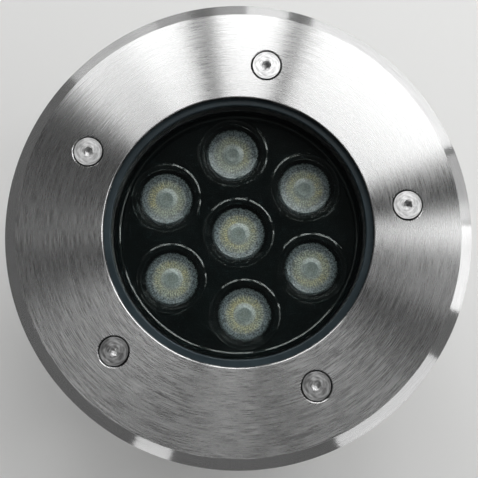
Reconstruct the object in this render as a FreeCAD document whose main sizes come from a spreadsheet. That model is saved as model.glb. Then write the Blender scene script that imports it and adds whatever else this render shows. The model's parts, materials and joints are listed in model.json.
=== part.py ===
"""In-ground well light: a round lamp with a stainless face ring, standing in its ground sleeve.

The row frame has its origin at the bottom centre of the sleeve, +Z up towards the glass.
Lengths are in millimetres and angles in degrees.  Radial sizes build outwards from one optic, and
heights build downwards from the paved surface, which is the top of the sleeve.
"""
import FreeCAD, Part

import math
import os
import re

import Sketcher
from FreeCAD import Placement, Rotation, Vector

# ------------------------------------------------------------------ driving dimensions
SIZES = {
    # optic: frosted lens with a clear flange at its front
    "optic_radius": 9.9,
    "optic_height": 11.0,
    "optic_flange": 1.2,
    "optic_step": 1.0,
    "optic_foot_radius": 4.2,
    "optic_waist_radius": 7.5,
    "optic_waist_depth": 6.0,
    "optic_well_radius": 2.6,
    "optic_well_depth": 4.0,
    "optic_dimple_radius": 3.0,
    "optic_dimple_depth": 1.2,
    # lens holder: cup that carries the optic's flange above its LED
    "holder_gap": 0.2,
    "holder_wall": 0.8,
    "holder_floor": 1.2,
    "holder_mouth_radius": 3.4,
    "holder_drop": 0.1,
    # LED: square base with a dome
    "led_width": 3.5,
    "led_base": 0.9,
    "led_dome_radius": 1.3,
    "led_headroom": 0.2,
    # pattern of the lenses: one in the centre and a ring round it
    "lens_ring_count": 6,
    "lens_ring_turn": 94.25,
    # cover plate: black, with a flared cup over each lens
    "cup_gap": 0.5,
    "cup_flare": 1.4,
    "cup_round": 0.6,
    "cup_web": 5.7,
    "plate_thickness": 2.2,
    "plate_rim": 3.7,
    "plate_round": 0.8,
    "plate_gap": 0.4,
    "skirt_thickness": 2.0,
    # LED board on its thermal pad
    "board_thickness": 1.6,
    "board_margin": 0.8,
    "pad_thickness": 0.5,
    "board_screw_count": 3,
    "board_screw_out": 17.0,
    "board_screw_grip": 4.0,
    # leads from the driver up through the grommet to the board
    "wire_diameter": 1.6,
    "wire_pitch": 3.0,
    "wire_bend": 3.6,
    "wire_rise": 2.0,
    "wire_hole_out": 15.2,
    "wire_hole_radius": 4.0,
    "grommet_lip": 1.2,
    "grommet_bore": 2.6,
    # glass and its gasket
    "cover_drop": 3.4,
    "seat_ledge": 0.8,
    "ledge_step": 1.2,
    "glass_bearing": 2.6,
    "glass_thickness": 8.0,
    "glass_chamfer": 0.6,
    "gasket_lip": 1.2,
    "gasket_wall": 1.8,
    "gasket_show": 2.3,
    "gasket_gap": 0.2,
    "seat_gap": 0.3,
    # trim ring: turned stainless steel
    "trim_thickness": 4.5,
    "trim_lip": 2.0,
    "trim_overhang": 10.0,
    "chamfer_width": 4.6,
    "chamfer_height": 3.0,
    "opening_chamfer": 0.4,
    "rebate_gap": 0.6,
    "drip_inset": 0.6,
    "drip_width": 1.4,
    "drip_depth": 0.6,
    # M5 countersunk screws with hex sockets
    "screw_count": 5,
    "screw_turn": 8.4,
    "screw_diameter": 5.0,
    "screw_length": 12.0,
    "screw_head_diameter": 10.0,
    "screw_head_land": 0.3,
    "screw_key": 3.0,
    "screw_key_depth": 1.9,
    "screw_tip": 0.6,
    "screw_gap": 0.2,
    "thread_gap": 0.06,
    "screw_inset": 7.1,
    "screw_edge": 6.0,
    "screw_tip_room": 2.0,
    "tapped_floor": 2.0,
    # housing: die-cast aluminium
    "housing_wall": 2.8,
    "flange_floor": 3.6,
    "platform_thickness": 6.0,
    "driver_room": 11.5,
    "foot_flange_thickness": 5.0,
    "fin_count": 24,
    "fin_depth": 7.0,
    "fin_thickness": 2.2,
    # rubber ring that centres the lamp in the sleeve
    "ring_groove_depth": 1.8,
    "ring_groove_width": 5.0,
    "ring_groove_drop": 3.5,
    "ring_fit": 0.1,
    # mounting sleeve: black plastic, open at the bottom
    "sleeve_height": 118.0,
    "sleeve_gap": 2.6,
    "sleeve_wall": 3.4,
    "sleeve_relief": 1.4,
    "sleeve_band": 20.0,
    "sleeve_lead": 1.0,
    "sleeve_foot": 5.0,
    "sleeve_foot_width": 11.6,
    "sleeve_rib_count": 12,
    "sleeve_rib_width": 3.0,
    "sleeve_rib_height": 1.1,
    "cable_arch_width": 24.0,
    "cable_arch_height": 24.0,
    "anchor_count": 4,
    "anchor_turn": 45.0,
    "anchor_radius": 2.6,
    "anchor_inset": 5.5,
    # potted driver under the platform
    "driver_length": 60.0,
    "driver_width": 36.0,
    "driver_height": 18.0,
    "driver_wall": 1.6,
    "driver_potting_drop": 1.0,
    "driver_ear": 8.0,
    "driver_ear_thickness": 2.5,
    "driver_screw_inset": 4.0,
    "driver_round": 2.0,
    # terminal block on the back cover, and its leads to the driver
    "terminal_length": 28.0,
    "terminal_width": 17.0,
    "terminal_height": 14.0,
    "terminal_gap": 3.5,
    "terminal_pitch": 16.0,
    "terminal_floor": 2.0,
    "clamp_radius": 2.6,
    "clamp_fit": 0.1,
    "clamp_length": 10.0,
    "supply_bend": 4.0,
    "supply_drop": 9.0,
    # M3 screws inside the lamp
    "small_screw_diameter": 3.0,
    "small_head_diameter": 5.5,
    "small_head_height": 2.0,
    "small_slot_width": 0.8,
    "small_slot_depth": 1.0,
    "terminal_screw_grip": 2.5,
    # back cover, its gasket and its M4 screws
    "back_cover_thickness": 4.0,
    "cover_gasket_inset": 1.0,
    "cover_gasket_width": 2.4,
    "cover_gasket_depth": 1.2,
    "cover_screw_count": 6,
    "cover_screw_turn": 15.0,
    "cover_screw_inset": 3.4,
    "cover_screw_edge": 6.0,
    "cover_screw_diameter": 4.0,
    "cover_screw_length": 10.0,
    "cover_head_diameter": 7.0,
    "cover_head_height": 2.6,
    "cover_screw_key": 2.5,
    "cover_key_depth": 1.5,
    "cover_screw_room": 1.5,
    "cover_boss_wall": 2.4,
    # cable gland
    "cable_diameter": 7.5,
    "gland_bore_gap": 0.15,
    "gland_relief": 0.9,
    "gland_thread_diameter": 16.0,
    "gland_flats": 20.0,
    "gland_collar": 5.0,
    "gland_neck": 8.0,
    "gland_neck_radius": 7.6,
    "gland_seal_wall": 2.3,
    "gland_seal_length": 10.0,
    "gland_socket_depth": 8.5,
    "gland_nut_height": 15.0,
    "gland_nut_hex": 8.0,
    "gland_nut_gap": 0.5,
    "gland_nut_end": 2.0,
    "gland_nut_mouth": 4.8,
    "gland_nut_tip": 7.0,
    "locknut_height": 4.0,
    "gland_run_out": 1.5,
    "washer_thickness": 1.5,
    "washer_width": 2.6,
    "gland_fit": 0.1,
}

# ------------------------------------------------------------------ places that follow from them
DERIVED = {
    # radii, from the optic outwards
    "holder_radius": "optic_radius + holder_gap + holder_wall",
    "cup_small_radius": "optic_radius + cup_gap",
    "cup_radius": "cup_small_radius + cup_flare",
    "cup_pitch": "2 * cup_radius + cup_web",
    "lens_ring_radius": "max(cup_pitch; cup_pitch / (2 * sin(180 deg / lens_ring_count)))",
    "plate_radius": "lens_ring_radius + cup_radius + plate_rim",
    "skirt_bore": "plate_radius - skirt_thickness",
    "board_radius": "lens_ring_radius + holder_radius + board_margin",
    "cavity_radius": "plate_radius + plate_gap",
    "wall_radius": "cavity_radius + housing_wall",
    "fin_radius": "wall_radius + fin_depth",
    "opening_radius": "cavity_radius + seat_ledge",
    "ledge_radius": "cavity_radius + ledge_step",
    "gasket_mouth": "opening_radius - gasket_show",
    "glass_radius": "opening_radius + glass_bearing",
    "gasket_bore": "glass_radius + gasket_gap",
    "gasket_radius": "gasket_bore + gasket_wall",
    "seat_radius": "gasket_radius + seat_gap",
    "rebate_radius": "seat_radius + rebate_gap",
    "screw_circle": "seat_radius + screw_inset",
    "flange_radius": "screw_circle + screw_edge",
    "ring_groove_radius": "flange_radius - ring_groove_depth",
    "sleeve_bore": "flange_radius + sleeve_gap",
    "sleeve_radius": "sleeve_bore + sleeve_wall",
    "tube_radius": "sleeve_radius - sleeve_relief",
    "face_radius": "sleeve_radius + trim_overhang",
    "anchor_circle": "sleeve_bore - anchor_inset",
    "cover_gasket_bore": "cavity_radius + cover_gasket_inset",
    "cover_gasket_radius": "cover_gasket_bore + cover_gasket_width",
    "cover_screw_circle": "cover_gasket_radius + cover_screw_inset",
    "back_cover_radius": "cover_screw_circle + cover_screw_edge",
    # screws
    "screw_radius": "screw_diameter / 2",
    "screw_head_radius": "screw_head_diameter / 2",
    "screw_head_height": "screw_head_land + screw_head_radius - screw_radius",
    "tapped_radius": "screw_radius + thread_gap",
    "small_screw_radius": "small_screw_diameter / 2",
    "small_hole_radius": "small_screw_radius + thread_gap",
    "cover_screw_radius": "cover_screw_diameter / 2",
    "cover_boss_radius": "cover_screw_radius + cover_boss_wall",
    "board_screw_turn": "lens_ring_turn + 180 / lens_ring_count",
    "wire_turn": "board_screw_turn + 360 / lens_ring_count",
    # heights, from the face of the trim ring downwards
    "face_z": "sleeve_height + trim_thickness",
    "gasket_top_z": "face_z - trim_lip",
    "glass_top_z": "gasket_top_z - gasket_lip",
    "seat_z": "glass_top_z - glass_thickness - gasket_lip",
    "plate_top_z": "seat_z - cover_drop",
    "optic_front_z": "plate_top_z - plate_thickness",
    "led_height": "led_base + led_dome_radius",
    "board_top_z": "optic_front_z - optic_height - led_height - led_headroom",
    "pad_top_z": "board_top_z - board_thickness",
    "platform_top_z": "pad_top_z - pad_thickness",
    "platform_bottom_z": "platform_top_z - platform_thickness",
    "driver_bottom_z": "platform_bottom_z - driver_height",
    "potting_top_z": "platform_bottom_z - driver_wall",
    "base_z": "driver_bottom_z - driver_room",
    "foot_flange_z": "base_z + foot_flange_thickness",
    "cover_bottom_z": "base_z - back_cover_thickness",
    "screw_tip_z": "face_z - screw_length",
    "tapped_end_z": "screw_tip_z - screw_tip_room",
    "flange_bottom_z": "min(seat_z - flange_floor; tapped_end_z - tapped_floor)",
    "cover_boss_top_z": "cover_bottom_z + cover_screw_length + cover_screw_room + cover_boss_wall",
    "terminal_top_z": "base_z + terminal_height",
    "terminal_y": "0 - driver_width / 2 - terminal_gap - terminal_width / 2",
    "locknut_top_z": "base_z + locknut_height",
    "washer_bottom_z": "cover_bottom_z - washer_thickness",
    "collar_bottom_z": "washer_bottom_z - gland_collar",
    "neck_bottom_z": "collar_bottom_z - gland_neck",
    "seal_top_z": "neck_bottom_z + gland_socket_depth",
    "seal_bottom_z": "seal_top_z - gland_seal_length",
    "gland_nut_top_z": "collar_bottom_z - gland_nut_gap",
    "gland_nut_bottom_z": "gland_nut_top_z - gland_nut_height",
    "gland_bore": "cable_diameter / 2 + gland_bore_gap",
    "gland_seal_radius": "gland_bore + gland_seal_wall",
    "gland_radius": "gland_thread_diameter / 2",
    "gland_hole_radius": "gland_radius + gland_fit",
}

WORD = re.compile(r"[a-z][a-z_0-9]*")
CLEARANCE_CUT = 1.0     # how far a cutting tool runs past the face that it opens

doc = FreeCAD.newDocument("in_ground_well_light")
sheet = doc.addObject("Spreadsheet::Sheet", "dims")
for row, (alias, size) in enumerate(SIZES.items(), start=1):
    sheet.set(f"A{row}", alias.replace("_", " "))
    sheet.set(f"B{row}", str(size))
    sheet.setAlias(f"B{row}", alias)
doc.recompute()

parts = []


# ------------------------------------------------------------------ formulas
def cells(formula):
    """Write a formula of named sizes as one of the sheet's cells."""
    def swap(match):
        word = match.group(0)
        if word in SIZES:
            return f"dims.{word}"
        if word in DERIVED:
            return f"({cells(DERIVED[word])})"
        return word
    return WORD.sub(swap, str(formula))


def value(formula):
    """The number that a formula gives with the sheet as it stands."""
    return float(sheet.evalExpression(cells(formula)))


def bind(thing, prop, formula):
    """Tie a property of an object to a formula."""
    thing.setExpression(prop, cells(formula))


def polar(radius, turn):
    """The x and y formulas of a point on a circle, turn degrees from +X."""
    return f"({radius}) * cos(({turn}) * 1 deg)", f"({radius}) * sin(({turn}) * 1 deg)"


# ------------------------------------------------------------------ bodies, sketches and features
def new_body(name, x="0", y="0", z="0"):
    """An empty body that stands at (x, y, z) and is written out under its name."""
    body = doc.addObject("PartDesign::Body", name)
    body.Label = name
    for letter, formula in (("x", x), ("y", y), ("z", z)):
        bind(body, f"Placement.Base.{letter}", formula)
    parts.append(body)
    return body


def datum(body, role):
    """One of the body's own origin planes or axes."""
    return next(item for item in body.Origin.OriginFeatures if item.Role == role)


def new_sketch(body, plane="XY_Plane", height="0", turn="0"):
    """A sketch on an origin plane, raised by height along its normal and turned about it."""
    sketch = body.newObject("Sketcher::SketchObject", f"{body.Label}_sketch")
    sketch.AttachmentSupport = [(datum(body, plane), "")]
    sketch.MapMode = "FlatFace"
    sketch.AttachmentOffset = Placement(Vector(0, 0, value(height)), Rotation(Vector(0, 0, 1), 1))
    bind(sketch, "AttachmentOffset.Base.z", height)
    bind(sketch, "AttachmentOffset.Rotation.Angle", f"({turn}) * 1 deg")
    return sketch


def hold(sketch, edge, end, x, y):
    """Hold one point of an edge at (x, y) from the sketch's origin."""
    for kind, formula in (("DistanceX", x), ("DistanceY", y)):
        number = sketch.addConstraint(Sketcher.Constraint(kind, -1, 1, edge, end, value(formula)))
        bind(sketch, f"Constraints[{number}]", formula)


def draw_outline(sketch, corners, arcs=None):
    """Draw a closed outline through the corners.

    arcs gives, for the edge that starts at a corner's number, the radius of an arc in its place:
    positive where the arc bulges to the left of its travel, negative where it bulges to the right.
    """
    arcs = arcs or {}
    points = [Vector(value(x), value(y), 0) for x, y in corners]
    edges = []
    for number, start in enumerate(points):
        end = points[(number + 1) % len(points)]
        if number in arcs:
            edges.append(draw_arc(sketch, start, end, arcs[number]))
        else:
            edges.append((sketch.addGeometry(Part.LineSegment(start, end)), 1, 2))
    for number, (edge, first, last) in enumerate(edges):
        following, following_first, _ = edges[(number + 1) % len(edges)]
        sketch.addConstraint(Sketcher.Constraint("Coincident", edge, last, following, following_first))
        hold(sketch, edge, first, *corners[number])
    for number, formula in arcs.items():
        radius = formula.lstrip("-")
        limit = Sketcher.Constraint("Radius", edges[number][0], value(radius))
        bind(sketch, f"Constraints[{sketch.addConstraint(limit)}]", radius)


def draw_arc(sketch, start, end, formula):
    """Add an arc from start to end, and say which of its ends comes first."""
    to_left = not formula.startswith("-")
    radius = value(formula.lstrip("-"))
    chord = end - start
    left = Vector(-chord.y, chord.x, 0).normalize()
    depth = math.sqrt(max(radius ** 2 - (chord.Length / 2) ** 2, 0))
    middle = (start + end) / 2
    side = 1 if to_left else -1
    top = middle + left * side * (radius - depth)
    arc = Part.Arc(start, top, end)
    edge = sketch.addGeometry(arc)
    stored = sketch.Geometry[edge]
    forward = stored.StartPoint.distanceToPoint(start) < stored.EndPoint.distanceToPoint(start)
    return (edge, 1, 2) if forward else (edge, 2, 1)


def draw_circle(sketch, radius, x="0", y="0"):
    """Add a circle of the given radius with its centre at (x, y)."""
    circle = Part.Circle(Vector(value(x), value(y), 0), Vector(0, 0, 1), value(radius))
    edge = sketch.addGeometry(circle)
    number = sketch.addConstraint(Sketcher.Constraint("Radius", edge, value(radius)))
    bind(sketch, f"Constraints[{number}]", radius)
    hold(sketch, edge, 3, x, y)


def draw_box(sketch, left, right, bottom, top):
    """Add a rectangle between two x values and two y values."""
    draw_outline(sketch, [(left, bottom), (right, bottom), (right, top), (left, top)])


def draw_hexagon(sketch, flats):
    """Add a hexagon about the origin that measures flats across its flats."""
    corner = f"({flats}) / 2 / cos(30 deg)"
    draw_outline(sketch, [polar(corner, 60 * step) for step in range(6)])


def feature(body, kind, sketch=None, **settings):
    """Add a feature to the body and make it the body's tip."""
    item = body.newObject(f"PartDesign::{kind}", f"{body.Label}_{kind.lower()}")
    if sketch is not None:
        item.Profile = sketch
    for prop, setting in settings.items():
        setattr(item, prop, setting)
    body.Tip = item
    return item


def revolve(body, corners, arcs=None, cut=False):
    """Turn an outline of (radius, height) corners about the body's Z axis."""
    sketch = new_sketch(body, "XZ_Plane")
    draw_outline(sketch, corners, arcs)
    kind = "Groove" if cut else "Revolution"
    return feature(body, kind, sketch, ReferenceAxis=(datum(body, "Z_Axis"), [""]), Angle=360)


def pad(body, sketch, length):
    """Raise a sketch along its normal."""
    item = feature(body, "Pad", sketch)
    bind(item, "Length", length)
    return item


def pocket(body, sketch, depth, upwards=False):
    """Cut a sketch down into the body, or up where upwards is set."""
    item = feature(body, "Pocket", sketch, Reversed=upwards)
    bind(item, "Length", depth)
    return item


def repeat(body, item, count):
    """Repeat a feature evenly round the body's Z axis."""
    pattern = feature(body, "PolarPattern", Originals=[item], Angle=360)
    pattern.Axis = (datum(body, "Z_Axis"), [""])
    bind(pattern, "Occurrences", count)
    return pattern


def drill(body, radius, centre, top, depth, count=None):
    """Cut a round hole down from top, and repeat it round the axis where a count is given."""
    sketch = new_sketch(body, height=f"{top} + {CLEARANCE_CUT}")
    draw_circle(sketch, radius, *centre)
    hole = pocket(body, sketch, f"{depth} + {CLEARANCE_CUT}")
    return repeat(body, hole, count) if count else hole


def soften(body, size, kind, wanted):
    """Fillet or chamfer the edges of the body that the wanted test picks."""
    doc.recompute()
    base = body.Tip
    names = [f"Edge{number}" for number, edge in enumerate(base.Shape.Edges, start=1) if wanted(edge)]
    item = feature(body, kind, Base=(base, names))
    bind(item, "Radius" if kind == "Fillet" else "Size", size)
    return item


def circle_at(radius, height):
    """A test for full circles of one radius at one height."""
    near = 1e-4

    def wanted(edge):
        curve = edge.Curve
        return (isinstance(curve, Part.Circle) and abs(curve.Radius - value(radius)) < near
                and abs(edge.CenterOfMass.z - value(height)) < near)
    return wanted


def tube(name, path, radius):
    """A round wire or lead along a path of straight runs and tangent arcs."""
    start = path.Edges[0]
    section = Part.Wire(Part.makeCircle(radius, start.valueAt(start.FirstParameter),
                                        start.tangentAt(start.FirstParameter)))
    lead = doc.addObject("Part::Feature", name)
    lead.Label = name
    lead.Shape = path.makePipeShell([section], True, True)
    lead.Placement = Placement()
    parts.append(lead)


# ------------------------------------------------------------------ light engine
def lens_places():
    """The name number and x, y formulas of each lens: the centre one first, then the ring."""
    places = [(1, "0", "0")]
    for step in range(int(SIZES["lens_ring_count"])):
        turn = f"lens_ring_turn + {step} * 360 / lens_ring_count"
        places.append((step + 2, *polar("lens_ring_radius", turn)))
    return places


def make_optic(name, x, y):
    """Frosted lens: front flange, tapered flank, a well for the LED and a dimple in the front."""
    body = new_body(name, x, y, "optic_front_z")
    shoulder = "optic_radius - optic_step"
    revolve(body, [
        ("0", "0 - optic_dimple_depth"),
        ("optic_dimple_radius", "0 - optic_dimple_depth"),
        ("optic_dimple_radius", "0"),
        ("optic_radius", "0"),
        ("optic_radius", "0 - optic_flange"),
        (shoulder, "0 - optic_flange"),
        ("optic_waist_radius", "0 - optic_waist_depth"),
        ("optic_foot_radius", "0 - optic_height"),
        ("optic_well_radius", "0 - optic_height"),
        ("optic_well_radius", "0 - optic_height + optic_well_depth"),
        ("0", "0 - optic_height + optic_well_depth"),
    ])


def make_holder(name, x, y):
    """Round holder that stands on the board and carries the optic by its flange."""
    body = new_body(name, x, y, "board_top_z")
    rim = "optic_front_z - board_top_z - holder_drop"
    ledge = "optic_front_z - board_top_z - optic_flange"
    seat = "optic_radius + holder_gap"
    bore = "optic_radius - optic_step + holder_gap"
    revolve(body, [
        ("holder_mouth_radius", "0"),
        ("holder_radius", "0"),
        ("holder_radius", rim),
        (seat, rim),
        (seat, ledge),
        (bore, ledge),
        (bore, "holder_floor"),
        ("holder_mouth_radius", "holder_floor"),
    ])


def make_led(name, x, y):
    """LED: square base with a round dome."""
    body = new_body(name, x, y, "board_top_z")
    base = new_sketch(body)
    draw_box(base, "0 - led_width / 2", "led_width / 2", "0 - led_width / 2", "led_width / 2")
    pad(body, base, "led_base")
    revolve(body, [("0", "led_base"), ("led_dome_radius", "led_base"), ("0", "led_height")],
            arcs={1: "-led_dome_radius"})


def make_cover_plate():
    """Black plate with a flared cup over each lens, and a skirt that stands on the platform."""
    body = new_body("cover_plate", z="platform_top_z")
    top = "plate_top_z - platform_top_z"
    under = f"{top} - plate_thickness"
    revolve(body, [
        ("0", under), ("skirt_bore", under), ("skirt_bore", "0"),
        ("plate_radius", "0"), ("plate_radius", top), ("0", top),
    ])
    cup = [("0", under), ("cup_small_radius", under), ("cup_radius", top), ("0", top)]
    revolve(body, cup, cut=True)
    sketch = new_sketch(body, height=top)
    draw_circle(sketch, "cup_radius", *polar("lens_ring_radius", "lens_ring_turn"))
    ring_cup = pocket(body, sketch, "plate_thickness")
    bind(ring_cup, "TaperAngle", "0 deg - atan(cup_flare / plate_thickness)")
    repeat(body, ring_cup, "lens_ring_count")
    soften(body, "cup_round", "Fillet", circle_at("cup_radius", top))
    soften(body, "plate_round", "Fillet", circle_at("plate_radius", top))


def make_board():
    """Aluminium circuit board, the pad under it and the screws that hold it."""
    board = new_body("led_board", z="pad_top_z")
    thermal_pad = new_body("thermal_pad", z="platform_top_z")
    for body, thickness in ((board, "board_thickness"), (thermal_pad, "pad_thickness")):
        outline = new_sketch(body)
        draw_circle(outline, "board_radius")
        pad(body, outline, thickness)
        drill(body, "small_hole_radius", polar("board_screw_out", "board_screw_turn"),
              thickness, f"{thickness} + {CLEARANCE_CUT}", "board_screw_count")
        drill(body, "wire_hole_radius + grommet_lip + seat_gap", polar("wire_hole_out", "wire_turn"),
              thickness, f"{thickness} + {CLEARANCE_CUT}")
    shank = "board_thickness + pad_thickness + board_screw_grip"
    screws = new_body("board_screws", z="board_top_z")
    make_small_screws(screws, polar("board_screw_out", "board_screw_turn"), shank, "board_screw_count")


def make_small_screws(body, centre, shank, count=None, head_down=False):
    """M3 screws with slotted heads; the head's seat is at the body's own height 0."""
    sense = "0 - 1" if head_down else "1"
    head = new_sketch(body)
    draw_circle(head, "small_head_diameter / 2", *centre)
    item = pad(body, head, "small_head_height")
    item.Reversed = head_down
    if count:
        repeat(body, item, count)
    stem = new_sketch(body)
    draw_circle(stem, "small_screw_radius", *centre)
    item = pad(body, stem, shank)
    item.Reversed = not head_down
    if count:
        repeat(body, item, count)
    slot = new_sketch(body, height=f"({sense}) * small_head_height")
    half = "small_slot_width / 2"
    x, y = centre
    draw_box(slot, f"{x} - small_head_diameter / 2", f"{x} + small_head_diameter / 2",
             f"{y} - {half}", f"{y} + {half}")
    item = pocket(body, slot, "small_slot_depth", upwards=head_down)
    if count:
        repeat(body, item, count)


# ------------------------------------------------------------------ glass and face
def make_glass():
    """Toughened glass disc with ground edges."""
    body = new_body("glass_lens", z="glass_top_z - glass_thickness")
    inner = "glass_radius - glass_chamfer"
    revolve(body, [
        ("0", "0"), (inner, "0"), ("glass_radius", "glass_chamfer"),
        ("glass_radius", "glass_thickness - glass_chamfer"), (inner, "glass_thickness"),
        ("0", "glass_thickness"),
    ])


def make_glass_gasket():
    """U-shaped silicone seal round the rim of the glass."""
    body = new_body("glass_gasket", z="seat_z")
    height = "glass_thickness + 2 * gasket_lip"
    lower = "ledge_radius + seat_gap"
    revolve(body, [
        (lower, "0"), ("gasket_radius", "0"), ("gasket_radius", height), ("gasket_mouth", height),
        ("gasket_mouth", f"{height} - gasket_lip"), ("gasket_bore", f"{height} - gasket_lip"),
        ("gasket_bore", "gasket_lip"), (lower, "gasket_lip"),
    ])


def make_trim_ring():
    """Turned steel ring: chamfered rim, lip over the gasket, drip groove and countersunk holes."""
    body = new_body("trim_ring", z="sleeve_height")
    under_lip = "trim_thickness - trim_lip"
    drip_radius = "sleeve_radius + drip_inset"
    revolve(body, [
        ("rebate_radius", "0"),
        (drip_radius, "0"),
        (drip_radius, "drip_depth"),
        (f"{drip_radius} + drip_width", "drip_depth"),
        (f"{drip_radius} + drip_width", "0"),
        ("face_radius", "0"),
        ("face_radius", "trim_thickness - chamfer_height"),
        ("face_radius - chamfer_width", "trim_thickness"),
        ("opening_radius + opening_chamfer", "trim_thickness"),
        ("opening_radius", "trim_thickness - opening_chamfer"),
        ("opening_radius", under_lip),
        ("rebate_radius", under_lip),
    ])
    centre = polar("screw_circle", "screw_turn")
    drill(body, "screw_radius + screw_gap", centre, "trim_thickness",
          f"trim_thickness + {CLEARANCE_CUT}", "screw_count")
    sink_radius = "screw_head_radius + screw_gap"
    land = new_sketch(body, height="trim_thickness - screw_head_land")
    draw_circle(land, sink_radius, *centre)
    sink = pocket(body, land, "screw_head_radius - screw_radius")
    sink.TaperAngle = -45
    repeat(body, sink, "screw_count")
    drill(body, sink_radius, centre, "trim_thickness", "screw_head_land", "screw_count")


def make_trim_screw(name, turn):
    """M5 countersunk screw, flush with the face, with a hex socket."""
    body = new_body(name, *polar("screw_circle", turn), "face_z")
    revolve(body, [
        ("0", "0"),
        ("0", "0 - screw_length"),
        ("screw_radius - screw_tip", "0 - screw_length"),
        ("screw_radius", "0 - screw_length + screw_tip"),
        ("screw_radius", "0 - screw_head_height"),
        ("screw_head_radius", "0 - screw_head_land"),
        ("screw_head_radius", "0"),
    ])
    socket = new_sketch(body)
    draw_hexagon(socket, "screw_key")
    pocket(body, socket, "screw_key_depth")


# ------------------------------------------------------------------ housing
def make_housing():
    """Die-cast body: glass seat, light chamber, platform, driver chamber, fins and bosses."""
    body = new_body("housing")
    groove_top = "sleeve_height - ring_groove_drop"
    groove_bottom = f"{groove_top} - ring_groove_width"
    revolve(body, [
        ("seat_radius", "sleeve_height"),
        ("seat_radius", "seat_z"),
        ("ledge_radius", "seat_z"),
        ("ledge_radius", "flange_bottom_z"),
        ("cavity_radius", "flange_bottom_z"),
        ("cavity_radius", "platform_top_z"),
        ("0", "platform_top_z"),
        ("0", "platform_bottom_z"),
        ("cavity_radius", "platform_bottom_z"),
        ("cavity_radius", "base_z"),
        ("back_cover_radius", "base_z"),
        ("back_cover_radius", "foot_flange_z"),
        ("wall_radius", "foot_flange_z"),
        ("wall_radius", "flange_bottom_z"),
        ("flange_radius", "flange_bottom_z"),
        ("flange_radius", groove_bottom),
        ("ring_groove_radius", groove_bottom),
        ("ring_groove_radius", groove_top),
        ("flange_radius", groove_top),
        ("flange_radius", "sleeve_height"),
    ])
    add_fins(body)
    drill(body, "tapped_radius", polar("screw_circle", "screw_turn"), "sleeve_height",
          "sleeve_height - tapped_end_z", "screw_count")
    add_cover_bosses(body)
    drill_platform(body)


def add_fins(body):
    """Cooling fins between the two flanges."""
    sketch = new_sketch(body, height="foot_flange_z", turn="180 / fin_count")
    draw_box(sketch, "wall_radius - housing_wall / 2", "fin_radius",
             "0 - fin_thickness / 2", "fin_thickness / 2")
    fin = pad(body, sketch, "flange_bottom_z - foot_flange_z")
    repeat(body, fin, "fin_count")


def add_cover_bosses(body):
    """Threaded bosses over the foot flange for the back cover's screws."""
    boss = new_sketch(body, height="foot_flange_z - foot_flange_thickness / 2", turn="cover_screw_turn")
    draw_circle(boss, "cover_boss_radius", "cover_screw_circle", "0")
    item = pad(body, boss, "cover_boss_top_z - foot_flange_z + foot_flange_thickness / 2")
    repeat(body, item, "cover_screw_count")
    sketch = new_sketch(body, height=f"base_z - {CLEARANCE_CUT}", turn="cover_screw_turn")
    draw_circle(sketch, "cover_screw_radius + thread_gap", "cover_screw_circle", "0")
    depth = "cover_screw_length - back_cover_thickness + cover_screw_room"
    hole = pocket(body, sketch, f"{depth} + {CLEARANCE_CUT}", upwards=True)
    repeat(body, hole, "cover_screw_count")


def drill_platform(body):
    """Holes in the platform for the leads, the board and the driver."""
    drill(body, "wire_hole_radius", polar("wire_hole_out", "wire_turn"), "platform_top_z",
          f"platform_thickness + {CLEARANCE_CUT}")
    drill(body, "small_hole_radius", polar("board_screw_out", "board_screw_turn"), "platform_top_z",
          "board_screw_grip + seat_gap", "board_screw_count")
    sketch = new_sketch(body, height=f"platform_bottom_z - {CLEARANCE_CUT}")
    draw_circle(sketch, "small_hole_radius", "driver_length / 2 + driver_ear - driver_screw_inset", "0")
    hole = pocket(body, sketch, f"board_screw_grip + seat_gap + {CLEARANCE_CUT}", upwards=True)
    repeat(body, hole, "2")


def make_body_ring():
    """Rubber ring in the flange's groove."""
    body = new_body("body_ring", z="sleeve_height - ring_groove_drop - ring_groove_width + ring_fit")
    height = "ring_groove_width - 2 * ring_fit"
    bore = "ring_groove_radius + ring_fit"
    rim = "sleeve_bore - seat_gap"
    revolve(body, [
        (bore, "0"), ("flange_radius", "0"), (rim, f"({height}) / 3"), (rim, f"2 * ({height}) / 3"),
        ("flange_radius", height), (bore, height),
    ])


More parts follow.
